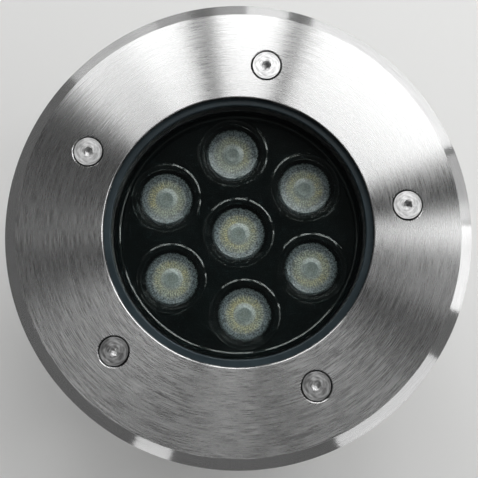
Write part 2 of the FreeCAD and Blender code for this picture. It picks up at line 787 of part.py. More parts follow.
# ------------------------------------------------------------------ wiring and driver
def make_driver():
    """Potted driver in a tray that is screwed under the platform."""
    case = new_body("driver_case", z="platform_bottom_z")
    half_length = "driver_length / 2"
    half_width = "driver_width / 2"
    outline = new_sketch(case, height="0 - driver_height")
    draw_box(outline, f"0 - {half_length}", half_length, f"0 - {half_width}", half_width)
    pad(case, outline, "driver_height")
    soften(case, "driver_round", "Fillet", upright)
    ears = new_sketch(case, height="0 - driver_ear_thickness")
    reach = f"{half_length} + driver_ear"
    draw_box(ears, f"0 - ({reach})", reach, "0 - driver_ear", "driver_ear")
    pad(case, ears, "driver_ear_thickness")
    hollow = new_sketch(case, height="0 - driver_height")
    inner_length = f"{half_length} - driver_wall"
    inner_width = f"{half_width} - driver_wall"
    draw_box(hollow, f"0 - ({inner_length})", inner_length, f"0 - ({inner_width})", inner_width)
    pocket(case, hollow, "driver_height - driver_wall", upwards=True)
    drill(case, "wire_hole_radius + grommet_lip + seat_gap", polar("wire_hole_out", "wire_turn"),
          "0", f"driver_wall + {CLEARANCE_CUT}")
    screw_out = f"{half_length} + driver_ear - driver_screw_inset"
    drill(case, "small_hole_radius", (screw_out, "0"), "0",
          f"driver_ear_thickness + {CLEARANCE_CUT}", "2")

    potting = new_body("driver_potting", z="platform_bottom_z")
    fill = new_sketch(potting, height="driver_potting_drop - driver_height")
    draw_box(fill, f"0 - ({inner_length})", inner_length, f"0 - ({inner_width})", inner_width)
    pad(potting, fill, "driver_height - driver_wall - driver_potting_drop")

    screws = new_body("driver_screws", z="platform_bottom_z - driver_ear_thickness")
    make_small_screws(screws, (screw_out, "0"), "driver_ear_thickness + board_screw_grip", "2",
                      head_down=True)


def upright(edge):
    """Whether an edge runs straight up."""
    return isinstance(edge.Curve, Part.Line) and abs(edge.tangentAt(edge.FirstParameter).z) > 0.99


def make_grommet():
    """Rubber grommet that lines the lead hole through the platform."""
    x, y = polar("wire_hole_out", "wire_turn")
    body = new_body("wire_grommet", x, y, "platform_bottom_z")
    lip = "wire_hole_radius + grommet_lip"
    neck = "wire_hole_radius - ring_fit"
    revolve(body, [
        ("grommet_bore", "0 - grommet_lip"), (lip, "0 - grommet_lip"), (lip, "0"), (neck, "0"),
        (neck, "platform_thickness"), (lip, "platform_thickness"),
        (lip, "platform_thickness + grommet_lip"), ("grommet_bore", "platform_thickness + grommet_lip"),
    ])


def make_output_wires():
    """Two leads from the potting, up through the grommet and over to pads on the board."""
    turn = math.radians(value("wire_turn"))
    outwards = Vector(math.cos(turn), math.sin(turn), 0)
    sideways = Vector(-math.sin(turn), math.cos(turn), 0)
    bend = value("wire_bend")
    bottom = value("potting_top_z")
    landing = value("board_top_z")
    crest = landing + value("wire_rise")
    for name, side in (("output_wire_positive", 0.5), ("output_wire_negative", -0.5)):
        start = outwards * value("wire_hole_out") + sideways * side * value("wire_pitch")
        foot = start + outwards * 2 * bend
        over = start + outwards * bend + Vector(0, 0, crest + bend)
        rise = Part.LineSegment(start + Vector(0, 0, bottom), start + Vector(0, 0, crest))
        arch = Part.Arc(start + Vector(0, 0, crest), over, foot + Vector(0, 0, crest))
        fall = Part.LineSegment(foot + Vector(0, 0, crest), foot + Vector(0, 0, landing))
        path = Part.Wire([rise.toShape(), arch.toShape(), fall.toShape()])
        tube(name, path, value("wire_diameter") / 2)


def make_supply_wires():
    """Two leads from the driver's side, bent down into the terminals."""
    bend = value("supply_bend")
    wall = -value("driver_width") / 2
    row = value("terminal_y")
    start_z = value("platform_bottom_z - supply_drop")
    end_z = value("base_z + terminal_floor + clamp_length")
    corner = bend * (1 - math.sqrt(0.5))
    for name, side in (("supply_wire_live", 0.5), ("supply_wire_neutral", -0.5)):
        x = side * value("terminal_pitch")
        out = Part.LineSegment(Vector(x, wall, start_z), Vector(x, row + bend, start_z))
        turn = Part.Arc(Vector(x, row + bend, start_z),
                        Vector(x, row + corner, start_z - corner), Vector(x, row, start_z - bend))
        down = Part.LineSegment(Vector(x, row, start_z - bend), Vector(x, row, end_z))
        path = Part.Wire([out.toShape(), turn.toShape(), down.toShape()])
        tube(name, path, value("wire_diameter") / 2)


def make_terminals():
    """Two-pole terminal block on the back cover, with its clamps and its screw."""
    block = new_body("terminal_block", "0", "terminal_y", "base_z")
    outline = new_sketch(block)
    draw_box(outline, "0 - terminal_length / 2", "terminal_length / 2",
             "0 - terminal_width / 2", "terminal_width / 2")
    pad(block, outline, "terminal_height")
    drill(block, "clamp_radius + clamp_fit", ("terminal_pitch / 2", "0"), "terminal_height",
          "terminal_height - terminal_floor", "2")
    drill(block, "small_hole_radius", ("0", "0"), "terminal_height",
          f"terminal_height + {CLEARANCE_CUT}")

    clamps = new_body("terminal_clamps", "0", "terminal_y", "base_z + terminal_floor")
    barrel = new_sketch(clamps)
    draw_circle(barrel, "clamp_radius", "terminal_pitch / 2", "0")
    repeat(clamps, pad(clamps, barrel, "clamp_length"), "2")

    screw = new_body("terminal_screw", "0", "terminal_y", "terminal_top_z")
    make_small_screws(screw, ("0", "0"), "terminal_height + terminal_screw_grip")


# ------------------------------------------------------------------ back cover and gland
def make_back_cover():
    """Round plate under the driver chamber, its gasket and its screws."""
    cover = new_body("back_cover", z="cover_bottom_z")
    floor = "back_cover_thickness - cover_gasket_depth"
    revolve(cover, [
        ("gland_hole_radius", "0"), ("back_cover_radius", "0"),
        ("back_cover_radius", "back_cover_thickness"), ("cover_gasket_radius", "back_cover_thickness"),
        ("cover_gasket_radius", floor), ("cover_gasket_bore", floor),
        ("cover_gasket_bore", "back_cover_thickness"), ("gland_hole_radius", "back_cover_thickness"),
    ])
    holes = new_sketch(cover, height=f"back_cover_thickness + {CLEARANCE_CUT}", turn="cover_screw_turn")
    draw_circle(holes, "cover_screw_radius + thread_gap", "cover_screw_circle", "0")
    hole = pocket(cover, holes, f"back_cover_thickness + 2 * {CLEARANCE_CUT}")
    repeat(cover, hole, "cover_screw_count")
    drill(cover, "small_hole_radius", ("0", "terminal_y"), "back_cover_thickness",
          "terminal_screw_grip + seat_gap")

    gasket = new_body("back_cover_gasket", z=f"cover_bottom_z + {floor}")
    revolve(gasket, [
        ("cover_gasket_bore", "0"), ("cover_gasket_radius", "0"),
        ("cover_gasket_radius", "cover_gasket_depth"), ("cover_gasket_bore", "cover_gasket_depth"),
    ])
    make_cover_screws()


def make_cover_screws():
    """M4 cap screws that hold the back cover, heads down."""
    body = new_body("back_cover_screws", z="cover_bottom_z")
    head = new_sketch(body, height="0 - cover_head_height", turn="cover_screw_turn")
    draw_circle(head, "cover_head_diameter / 2", "cover_screw_circle", "0")
    repeat(body, pad(body, head, "cover_head_height"), "cover_screw_count")
    stem = new_sketch(body, turn="cover_screw_turn")
    draw_circle(stem, "cover_screw_radius", "cover_screw_circle", "0")
    repeat(body, pad(body, stem, "cover_screw_length"), "cover_screw_count")
    socket = new_sketch(body, height="0 - cover_head_height", turn="cover_screw_turn")
    reach = "cover_screw_key / 2 / cos(30 deg)"
    corners = [polar(reach, 60 * step) for step in range(6)]
    draw_outline(socket, [(f"cover_screw_circle + {x}", y) for x, y in corners])
    repeat(body, pocket(body, socket, "cover_key_depth", upwards=True), "cover_screw_count")


def make_gland():
    """Cable gland under the back cover: body, locknut, washer, seal and dome nut."""
    body = new_body("gland_body", z="neck_bottom_z")
    collar = "gland_neck"
    shoulder = "gland_neck + gland_collar"
    top = "locknut_top_z + gland_run_out - neck_bottom_z"
    hexagon = new_sketch(body, height=collar)
    draw_hexagon(hexagon, "gland_flats")
    pad(body, hexagon, "gland_collar")
    revolve(body, [("0", "0"), ("gland_neck_radius", "0"), ("gland_neck_radius", collar), ("0", collar)])
    revolve(body, [("0", shoulder), ("gland_radius", shoulder), ("gland_radius", top), ("0", top)])
    socket = "gland_seal_radius + gland_fit"
    revolve(body, [
        ("0", "0"), (socket, "0"), (socket, "gland_socket_depth"),
        ("gland_bore + gland_relief", "gland_socket_depth"), ("gland_bore + gland_relief", top),
        ("0", top),
    ], cut=True)

    locknut = new_body("gland_locknut", z="base_z")
    outline = new_sketch(locknut)
    draw_hexagon(outline, "gland_flats")
    draw_circle(outline, "gland_hole_radius")
    pad(locknut, outline, "locknut_height")

    washer = new_body("gland_washer", z="washer_bottom_z")
    outline = new_sketch(washer)
    draw_circle(outline, "gland_hole_radius")
    draw_circle(outline, "gland_hole_radius + washer_width")
    pad(washer, outline, "washer_thickness")

    seal = new_body("gland_seal", z="seal_bottom_z")
    outline = new_sketch(seal)
    draw_circle(outline, "gland_bore")
    draw_circle(outline, "gland_seal_radius")
    pad(seal, outline, "gland_seal_length")
    make_gland_nut()


def make_gland_nut():
    """Dome nut: hexagon above, round dome below, open for the cable."""
    nut = new_body("gland_nut", z="gland_nut_bottom_z")
    flats_z = "gland_nut_height - gland_nut_hex"
    hexagon = new_sketch(nut, height=flats_z)
    draw_hexagon(hexagon, "gland_flats")
    pad(nut, hexagon, "gland_nut_hex")
    revolve(nut, [
        ("0", "0"), ("gland_nut_tip", "0"), ("gland_flats / 2", flats_z), ("0", flats_z),
    ], arcs={1: "-gland_nut_height"})
    thread = "gland_neck_radius + gland_fit"
    end_z = "gland_nut_end"
    thread_z = "neck_bottom_z - gland_nut_bottom_z - gland_nut_gap"
    seal_clear = "gland_seal_radius + gland_fit"
    revolve(nut, [
        ("0", "0"), ("gland_nut_mouth", "0"), ("gland_nut_mouth", end_z), (seal_clear, end_z),
        (seal_clear, thread_z), (thread, thread_z), (thread, "gland_nut_height"),
        ("0", "gland_nut_height"),
    ], cut=True)


# ------------------------------------------------------------------ ground sleeve
def make_sleeve():
    """Plastic tube with a guide band, ribs, an inward foot and two cable arches."""
    body = new_body("mounting_sleeve")
    band_z = "sleeve_height - sleeve_band"
    foot_bore = "sleeve_bore - sleeve_foot_width"
    revolve(body, [
        (foot_bore, "0"),
        ("sleeve_radius", "0"),
        ("sleeve_radius", "sleeve_foot"),
        ("tube_radius", "sleeve_foot"),
        ("tube_radius", band_z),
        ("sleeve_radius", band_z),
        ("sleeve_radius", "sleeve_height"),
        ("sleeve_bore + sleeve_lead", "sleeve_height"),
        ("sleeve_bore", "sleeve_height - sleeve_lead"),
        ("sleeve_bore", "sleeve_foot"),
        (foot_bore, "sleeve_foot"),
    ])
    sketch = new_sketch(body, height="sleeve_foot", turn="180 / sleeve_rib_count")
    draw_box(sketch, "(sleeve_bore + tube_radius) / 2", "tube_radius + sleeve_rib_height",
             "0 - sleeve_rib_width / 2", "sleeve_rib_width / 2")
    rib = pad(body, sketch, f"{band_z} - sleeve_foot")
    repeat(body, rib, "sleeve_rib_count")
    cut_arches(body)
    drill(body, "anchor_radius", polar("anchor_circle", "anchor_turn"), "sleeve_foot",
          f"sleeve_foot + {CLEARANCE_CUT}", "anchor_count")


def cut_arches(body):
    """Round-topped notches for the cable in two opposite sides of the foot."""
    half = "cable_arch_width / 2"
    spring = f"cable_arch_height - {half}"
    below = f"0 - {CLEARANCE_CUT}"
    across = f"2 * (sleeve_radius + {CLEARANCE_CUT})"
    sides = new_sketch(body, "YZ_Plane")
    draw_box(sides, f"0 - {half}", half, below, spring)
    pocket(body, sides, across).SideType = "Symmetric"
    top = new_sketch(body, "YZ_Plane")
    draw_circle(top, half, "0", spring)
    pocket(body, top, across).SideType = "Symmetric"


# ------------------------------------------------------------------ build, check and write
def build():
    """Make every sub-part in the document."""
    make_sleeve()
    make_housing()
    make_body_ring()
    make_trim_ring()
    for number in range(int(SIZES["screw_count"])):
        make_trim_screw(f"trim_screw_{number + 1}", f"screw_turn + {number} * 360 / screw_count")
    make_glass()
    make_glass_gasket()
    make_cover_plate()
    for number, x, y in lens_places():
        make_optic(f"optic_{number}", x, y)
        make_holder(f"lens_holder_{number}", x, y)
        make_led(f"led_{number}", x, y)
    make_board()
    make_driver()
    make_grommet()
    make_output_wires()
    make_terminals()
    make_supply_wires()
    make_back_cover()
    make_gland()


def check():
    """Stop with the names of whatever failed to build."""
    failed = [item.Name for item in doc.Objects if {"Invalid", "Error"} & set(item.State)]
    failed += [part.Label for part in parts if part.Shape.isNull() or not part.Shape.isValid()]
    if failed:
        raise RuntimeError("not built: " + ", ".join(failed))


build()
doc.recompute()
check()
os.makedirs("parts", exist_ok=True)
for part in parts:
    part.Shape.exportStep(f"parts/{part.Label}.step")
print(len(parts), "sub-parts, face diameter", round(2 * value("face_radius"), 3))
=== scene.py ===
"""Looks of a round in-ground well light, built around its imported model.

The lamp stands upright, with +Z out of the ground and its face ring on top. Sizes in the
classes of its sub-assemblies are millimetres and degrees.
"""
import json
import logging
import math
from contextlib import contextmanager
from dataclasses import dataclass, field
from enum import Enum
from typing import Iterator, Sequence

import bpy
from mathutils import Matrix, Vector


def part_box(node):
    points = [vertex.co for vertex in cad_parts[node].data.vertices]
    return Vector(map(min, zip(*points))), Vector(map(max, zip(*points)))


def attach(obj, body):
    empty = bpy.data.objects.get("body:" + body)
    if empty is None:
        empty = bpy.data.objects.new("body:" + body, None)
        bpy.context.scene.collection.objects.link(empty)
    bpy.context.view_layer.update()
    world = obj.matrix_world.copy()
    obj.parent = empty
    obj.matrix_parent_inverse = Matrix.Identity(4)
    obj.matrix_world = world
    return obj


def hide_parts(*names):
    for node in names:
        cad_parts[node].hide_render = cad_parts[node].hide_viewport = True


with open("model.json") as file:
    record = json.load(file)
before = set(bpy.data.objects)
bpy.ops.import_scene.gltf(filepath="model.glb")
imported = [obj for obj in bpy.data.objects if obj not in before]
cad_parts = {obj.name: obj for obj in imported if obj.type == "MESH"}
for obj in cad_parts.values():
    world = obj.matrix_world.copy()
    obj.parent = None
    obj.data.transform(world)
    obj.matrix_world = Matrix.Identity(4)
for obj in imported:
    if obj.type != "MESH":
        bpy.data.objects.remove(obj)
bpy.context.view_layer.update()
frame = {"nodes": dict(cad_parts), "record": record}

MM = 0.001
UP = (0.0, 0.0, 1.0)
MERGE_DISTANCE = 0.002
FLAT_ANGLE = 0.5
SHARP_ANGLE = 30.0
SMOOTHING_MARGIN = 5.0
ROUNDING_FACES = 2
NORMAL_WEIGHT = 80
log = logging.getLogger("well_light")

Colour = tuple[float, float, float]
Point = tuple[float, float]
Span = tuple[float, float]
Profile = Sequence[Point]
Feeds = dict[str | int, object]


class Closing(Enum):
    """How the two ends of a turned profile are closed."""

    RING = "the last circle is joined to the first"
    CAPS = "each end circle is filled with a flat face"


class Steps(Enum):
    """How many sides a turned piece has."""

    WIDE = 240
    MEDIUM = 96
    SMALL = 48


# ---------------------------------------------------------------- working with objects
def clear_selection() -> None:
    """Leave every object deselected."""
    bpy.ops.object.select_all(action="DESELECT")


def hold(*pieces: bpy.types.Object) -> None:
    """Select some objects alone.

    Args:
        pieces: the objects, of which the first one becomes active.
    """
    clear_selection()
    for piece in pieces:
        piece.select_set(True)
    bpy.context.view_layer.objects.active = pieces[0]


@contextmanager
def editing(piece: bpy.types.Object) -> Iterator[None]:
    """Work on a piece in edit mode, with all of it selected at first.

    Args:
        piece: the object to edit.

    Returns:
        A context that goes back to object mode at its end.
    """
    hold(piece)
    bpy.ops.object.mode_set(mode="EDIT")
    bpy.ops.mesh.select_all(action="SELECT")
    yield
    bpy.ops.object.mode_set(mode="OBJECT")


def settle(piece: bpy.types.Object) -> None:
    """Put a piece's place, turn and scale into its mesh."""
    hold(piece)
    bpy.ops.object.transform_apply(location=True, rotation=True, scale=True)


def turned(name: str, profile: Profile, closing: Closing, steps: Steps,
           centre: Point = (0.0, 0.0)) -> bpy.types.Object:
    """Turn a profile about an upright axis, as on a lathe.

    Args:
        name: the new object's name.
        profile: (radius, height) pairs in millimetres.
        closing: how the profile's ends are closed.
        steps: how many sides the piece has.
        centre: where the axis stands, in millimetres.

    Returns:
        The closed, outward-facing piece, at the origin with its place in its mesh.
    """
    clear_selection()
    radius, height = profile[0]
    axis = (MM * centre[0], MM * centre[1], 0.0)
    bpy.ops.mesh.primitive_circle_add(vertices=steps.value, radius=MM * radius,
                                      location=(axis[0], axis[1], MM * height))
    piece = bpy.context.active_object
    piece.name = piece.data.name = name
    settle(piece)
    with editing(piece):
        for next_radius, next_height in profile[1:]:
            bpy.ops.mesh.extrude_edges_indiv()
            growth = next_radius / radius
            bpy.ops.transform.resize(value=(growth, growth, 1.0), center_override=axis)
            bpy.ops.transform.translate(value=(0.0, 0.0, MM * (next_height - height)))
            radius, height = next_radius, next_height
        bpy.ops.mesh.select_all(action="DESELECT")
        bpy.ops.mesh.select_mode(type="VERT")
        bpy.ops.mesh.select_non_manifold()
        if closing is Closing.RING:
            bpy.ops.mesh.bridge_edge_loops()
        else:
            bpy.ops.mesh.fill_holes(sides=0)
        bpy.ops.mesh.select_all(action="SELECT")
        bpy.ops.mesh.normals_make_consistent(inside=False)
    return piece


def joined(pieces: Sequence[bpy.types.Object]) -> bpy.types.Object:
    """Join several objects into one.

    Args:
        pieces: the objects to join.

    Returns:
        The first of them, which holds them all.
    """
    hold(*pieces)
    if len(pieces) > 1:
        bpy.ops.object.join()
    return pieces[0]


def apply_modifier(piece: bpy.types.Object, kind: str, **settings: object) -> None:
    """Add a modifier and apply it at once.

    Args:
        piece: the object to change.
        kind: the modifier's type.
        settings: the modifier's own properties.
    """
    modifier = piece.modifiers.new(kind.lower(), kind)
    for key, setting in settings.items():
        setattr(modifier, key, setting)
    hold(piece)
    bpy.ops.object.modifier_apply(modifier=modifier.name)


def carve(piece: bpy.types.Object, cutters: Sequence[bpy.types.Object]) -> None:
    """Cut closed shapes out of a piece, and delete them.

    Args:
        piece: the object to cut.
        cutters: the shapes to cut away, which don't touch each other.
    """
    cutter = joined(cutters)
    apply_modifier(piece, "BOOLEAN", operation="DIFFERENCE", solver="EXACT", object=cutter)
    bpy.data.objects.remove(cutter, do_unlink=True)


def fuse(piece: bpy.types.Object, additions: Sequence[bpy.types.Object]) -> None:
    """Join closed shapes onto a piece as one solid.

    Args:
        piece: the object to add to.
        additions: the shapes to add, which don't touch each other.
    """
    addition = joined(additions)
    apply_modifier(piece, "BOOLEAN", operation="UNION", solver="EXACT", object=addition)
    bpy.data.objects.remove(addition, do_unlink=True)


def soften(piece: bpy.types.Object, width: float, angle: float = 25.0) -> None:
    """Round the sharp edges of a piece a little, and smooth the rest.

    Args:
        piece: the object to finish.
        width: the rounding's width in millimetres.
        angle: the least turn of an edge that is sharp, in degrees.
    """
    limit = math.radians(angle)
    apply_modifier(piece, "BEVEL", width=MM * width, segments=ROUNDING_FACES,
                   limit_method="ANGLE", angle_limit=limit, use_clamp_overlap=True,
                   miter_outer="MITER_ARC")
    hold(piece)
    bpy.ops.object.shade_smooth_by_angle(angle=math.radians(angle + SMOOTHING_MARGIN))
    apply_modifier(piece, "WEIGHTED_NORMAL", keep_sharp=True, weight=NORMAL_WEIGHT)


def placed_copy(model: bpy.types.Object, name: str, shift: Point,
                turn: float = 0.0) -> bpy.types.Object:
    """Copy a piece that was modelled on the origin's axis to another place.

    Args:
        model: the piece to copy.
        name: the copy's name.
        shift: how far the copy moves along X and Y, in millimetres.
        turn: how far it turns about its own axis, in degrees.

    Returns:
        The copy, with a mesh of its own.
    """
    hold(model)
    bpy.ops.object.duplicate(linked=False)
    copy = bpy.context.active_object
    copy.name = copy.data.name = name
    copy.rotation_euler = (0.0, 0.0, math.radians(turn))
    copy.location = (MM * shift[0], MM * shift[1], 0.0)
    settle(copy)
    return copy


def discard(piece: bpy.types.Object) -> None:
    """Delete a piece that was only a model for copies."""
    bpy.data.objects.remove(piece, do_unlink=True)


def arc(centre: Point, radius: float, start: float, end: float, count: int) -> list[Point]:
    """Points along an arc, both ends included.

    Args:
        centre: the arc's centre.
        radius: the arc's radius.
        start: the angle of its first point, in degrees.
        end: the angle of its last point, in degrees.
        count: how many steps it has.

    Returns:
        One point more than it has steps.
    """
    turns = [math.radians(start + (end - start) * step / count) for step in range(count + 1)]
    return [(centre[0] + radius * math.cos(turn), centre[1] + radius * math.sin(turn))
            for turn in turns]


def chart(piece: bpy.types.Object, centre: Point, reach: float) -> None:
    """Give a piece a flat map seen from above: its middle is (0.5, 0.5).

    Args:
        piece: the object to map.
        centre: the map's middle in millimetres.
        reach: the distance in millimetres from the middle to the map's edge.
    """
    for old in list(piece.data.uv_layers):
        piece.data.uv_layers.remove(old)
    layer = piece.data.uv_layers.new(name="chart")
    for loop in piece.data.loops:
        point = piece.data.vertices[loop.vertex_index].co
        layer.uv[loop.index].vector = (0.5 + (point.x / MM - centre[0]) / (2 * reach),
                                       0.5 + (point.y / MM - centre[1]) / (2 * reach))


def smoothed_node(node: str, rounding: float) -> bpy.types.Object:
    """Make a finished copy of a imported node: merged, cleared of needless edges and rounded.

    Args:
        node: the node's name.
        rounding: the width of its edges' rounding, in millimetres.

    Returns:
        The copy, named after the node.
    """
    copy = bpy.data.objects.new(f"{node}_finished", frame["nodes"][node].data.copy())
    bpy.context.scene.collection.objects.link(copy)
    with editing(copy):
        bpy.ops.mesh.remove_doubles(threshold=MERGE_DISTANCE * MM)
        bpy.ops.mesh.dissolve_limited(angle_limit=math.radians(FLAT_ANGLE))
    if rounding:
        soften(copy, rounding, angle=SHARP_ANGLE)
    else:
        hold(copy)
        bpy.ops.object.shade_smooth_by_angle(angle=math.radians(SHARP_ANGLE))
    return copy


def install(piece: bpy.types.Object, body: str, node: str, material: bpy.types.Material) -> None:
    """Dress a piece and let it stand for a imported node.

    Args:
        piece: the finished piece.
        body: the moving body that it rides on.
        node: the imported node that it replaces, whose slot it takes.
        material: its finish.
    """
    dress(piece, material)
    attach(piece, body)
    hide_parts(node)
    log.info("%s rides on %s: %d faces", piece.name, body, len(piece.data.polygons))


def dress(piece: bpy.types.Object, material: bpy.types.Material) -> None:
    """Give a piece one material all over."""
    piece.data.materials.clear()
    piece.data.materials.append(material)


def slot_of(node: str) -> str:
    """The record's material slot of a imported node."""
    parts = frame["record"]["subparts"]
    return next(part["material_slot"] for part in parts if part["node"] == node)


def top_of(node: str) -> float:
    """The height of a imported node's highest point, in millimetres."""
    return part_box(node)[1].z / MM


def reach_of(node: str) -> float:
    """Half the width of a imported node, in millimetres."""
    low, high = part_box(node)
    return (high.x - low.x) / (2 * MM)


def middle_of(node: str) -> Point:
    """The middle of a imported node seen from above, in millimetres."""
    low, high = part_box(node)
    return (low.x + high.x) / (2 * MM), (low.y + high.y) / (2 * MM)


# ---------------------------------------------------------------- node trees
class Bench:
    """A node tree, with short ways to add and join its nodes."""

    def __init__(self, tree: bpy.types.NodeTree) -> None:
        """Start on an emptied tree."""
        self.tree = tree
        self.tree.nodes.clear()

    def add(self, kind: str, feeds: Feeds | None = None, **settings: object) -> bpy.types.Node:
        """Add a node, set it up and feed its inputs.

        Args:
            kind: the node's type without its "ShaderNode" prefix.
            feeds: a value or a socket for each input, by name or number.
            settings: the node's own properties.

        Returns:
            The new node.
        """
        node = self.tree.nodes.new(f"ShaderNode{kind}")
        for key, setting in settings.items():
            setattr(node, key, setting)
        for key, feed in (feeds or {}).items():
            self.feed(node.inputs[key], feed)
        return node

    def feed(self, socket: bpy.types.NodeSocket, feed: object) -> None:
        """Join a socket to another one, or set its value.

        Args:
            socket: the input to feed.
            feed: the socket to join to it, or the value to set.
        """
        if isinstance(feed, bpy.types.NodeSocket):
            self.tree.links.new(feed, socket)
        else:
            socket.default_value = feed

    def math(self, operation: str, first: object, second: object = 0.0,
             third: object = 0.0) -> bpy.types.NodeSocket:
        """The result of a sum on numbers."""
        return self.add("Math", {0: first, 1: second, 2: third}, operation=operation).outputs[0]

    def vector(self, operation: str, first: object,
               second: object = (0.0, 0.0, 0.0)) -> bpy.types.Node:
        """A node that works on vectors."""
        return self.add("VectorMath", {0: first, 1: second}, operation=operation)

    def scaled(self, vector: object, factor: object) -> bpy.types.NodeSocket:
        """A vector times a number."""
        return self.add("VectorMath", {0: vector, "Scale": factor}, operation="SCALE").outputs[0]

    def span(self, value: object, low: float, high: float, start: object = 0.0,
             end: object = 1.0) -> bpy.types.NodeSocket:
        """A value that runs smoothly from start to end while another runs from low to high."""
        feeds = {"Value": value, "From Min": low, "From Max": high, "To Min": start, "To Max": end}
        return self.add("MapRange", feeds, interpolation_type="SMOOTHSTEP").outputs[0]

    def noise(self, vector: object, scale: object, detail: float = 2.0,
              roughness: float = 0.5) -> bpy.types.NodeSocket:
        """Smooth noise about a half."""
        feeds = {"Vector": vector, "Scale": scale, "Detail": detail, "Roughness": roughness}
        return self.add("TexNoise", feeds).outputs[0]

    def mix(self, factor: object, first: object, second: object) -> bpy.types.NodeSocket:
        """A colour between two colours."""
        feeds = {0: factor, 6: paint(first), 7: paint(second)}
        return self.add("Mix", feeds, data_type="RGBA").outputs[2]

    def ramp(self, value: object, stops: Sequence[tuple[float, Colour]],
             interpolation: str = "EASE") -> bpy.types.NodeSocket:
        """Colours that follow a value from stop to stop.

        Args:
            value: the value to follow, from 0 to 1.
            stops: the place of each stop and its colour.
            interpolation: how the colour changes between two stops.

        Returns:
            The colour.
        """
        node = self.add("ValToRGB", {"Fac": value})
        ramp = node.color_ramp
        ramp.interpolation = interpolation
        ramp.elements.remove(ramp.elements[1])
        for number, (place, colour) in enumerate(stops):
            stop = ramp.elements.new(place) if number else ramp.elements[0]
            stop.position, stop.color = place, paint(colour)
        return node.outputs[0]

    def bump(self, height: object, distance: float) -> bpy.types.NodeSocket:
        """A normal that follows a height of 0 to 1, which is distance millimetres."""
        return self.add("Bump", {"Height": height, "Distance": distance * MM}).outputs[0]


def paint(colour: object) -> object:
    """A colour with its alpha added, where it is a plain colour."""
    return (*colour, 1.0) if isinstance(colour, tuple) and len(colour) == 3 else colour


def tinted(colour: Colour, factor: float) -> Colour:
    """A colour made lighter or darker."""
    return tuple(min(1.0, part * factor) for part in colour)


def new_material(name: str) -> tuple[bpy.types.Material, Bench]:
    """Start a material.

    Args:
        name: the material's name.

    Returns:
        The material and the bench for its nodes.
    """
    material = bpy.data.materials.new(name)
    material.use_nodes = True
    return material, Bench(material.node_tree)


def surface(bench: Bench, shader: bpy.types.NodeSocket) -> None:
    """End a material with this shader as its surface."""
    bench.add("OutputMaterial", {"Surface": shader})


def facing_up(bench: Bench) -> bpy.types.NodeSocket:
    """How far the surface faces upwards: 1 on a level top, 0 on a wall."""
    normal = bench.add("NewGeometry").outputs["Normal"]
    return bench.add("SeparateXYZ", {0: normal}).outputs["Z"]


class SharedEffect:
    """A node group that several materials use, made when it is first asked for."""

    name = ""
    inputs: dict[str, float | tuple[float, float, float]] = {}
    outputs: tuple[str, ...] = ()

    @classmethod
    def group(cls) -> bpy.types.NodeTree:
        """Make the effect's node group, or find it again.

        Returns:
            The node group.
        """
        if cls.name in bpy.data.node_groups:
            return bpy.data.node_groups[cls.name]
        tree = bpy.data.node_groups.new(cls.name, "ShaderNodeTree")
        for socket, default in cls.inputs.items():
            kind = "NodeSocketVector" if isinstance(default, tuple) else "NodeSocketFloat"
            entry = tree.interface.new_socket(socket, in_out="INPUT", socket_type=kind)
            entry.default_value = default
        for socket in cls.outputs:
            kind = "NodeSocketVector" if socket == "Normal" else "NodeSocketFloat"
            tree.interface.new_socket(socket, in_out="OUTPUT", socket_type=kind)
        bench = Bench(tree)
        source = tree.nodes.new("NodeGroupInput")
        sink = tree.nodes.new("NodeGroupOutput")
        cls.lay(bench, source.outputs, sink.inputs)
        return tree

    @classmethod
    def lay(cls, bench: Bench, given: object, result: object) -> None:
        """Lay out the effect's nodes between its inputs and its outputs."""
        raise NotImplementedError

    @classmethod
    def use(cls, bench: Bench, **feeds: object) -> object:
        """Place the effect in a material.

        Args:
            bench: the material's bench.
            feeds: a value or a socket for each of the effect's inputs.

        Returns:
            The effect's outputs.
        """
        node = bench.add("Group")
        node.node_tree = cls.group()
        for key, feed in feeds.items():
            bench.feed(node.inputs[key.replace("_", " ").title()], feed)
        return node.outputs


class MouldedGrain(SharedEffect):
    """The fine pips of a moulded or coated surface, and its cloudy tone."""

    name = "moulded_grain"
    inputs = {"Pips Per Metre": 2000.0, "Clouds Per Metre": 60.0}
    outputs = ("Height", "Tone")
    coarse_density: float = 0.23
    coarse_share: float = 0.6
    cloud_range: Span = (0.3, 0.7)

    @classmethod
    def lay(cls, bench: Bench, given: object, result: object) -> None:
        """Fine noise on a coarser one makes the pips, and wide noise the tone.

        Args:
            bench: the group's bench.
            given: the group's inputs.
            result: the group's outputs.
        """
        place = bench.add("TexCoord").outputs["Object"]
        fine = bench.noise(place, given["Pips Per Metre"], detail=3.0, roughness=0.6)
        density = bench.math("MULTIPLY", given["Pips Per Metre"], cls.coarse_density)
        coarse = bench.noise(place, density, detail=2.0)
        fine_part = bench.math("MULTIPLY", fine, 1.0 - cls.coarse_share)
        pips = bench.math("MULTIPLY_ADD", coarse, cls.coarse_share, fine_part)
        clouds = bench.noise(place, given["Clouds Per Metre"], detail=3.0)
        bench.feed(result["Height"], pips)
        bench.feed(result["Tone"], bench.span(clouds, *cls.cloud_range))


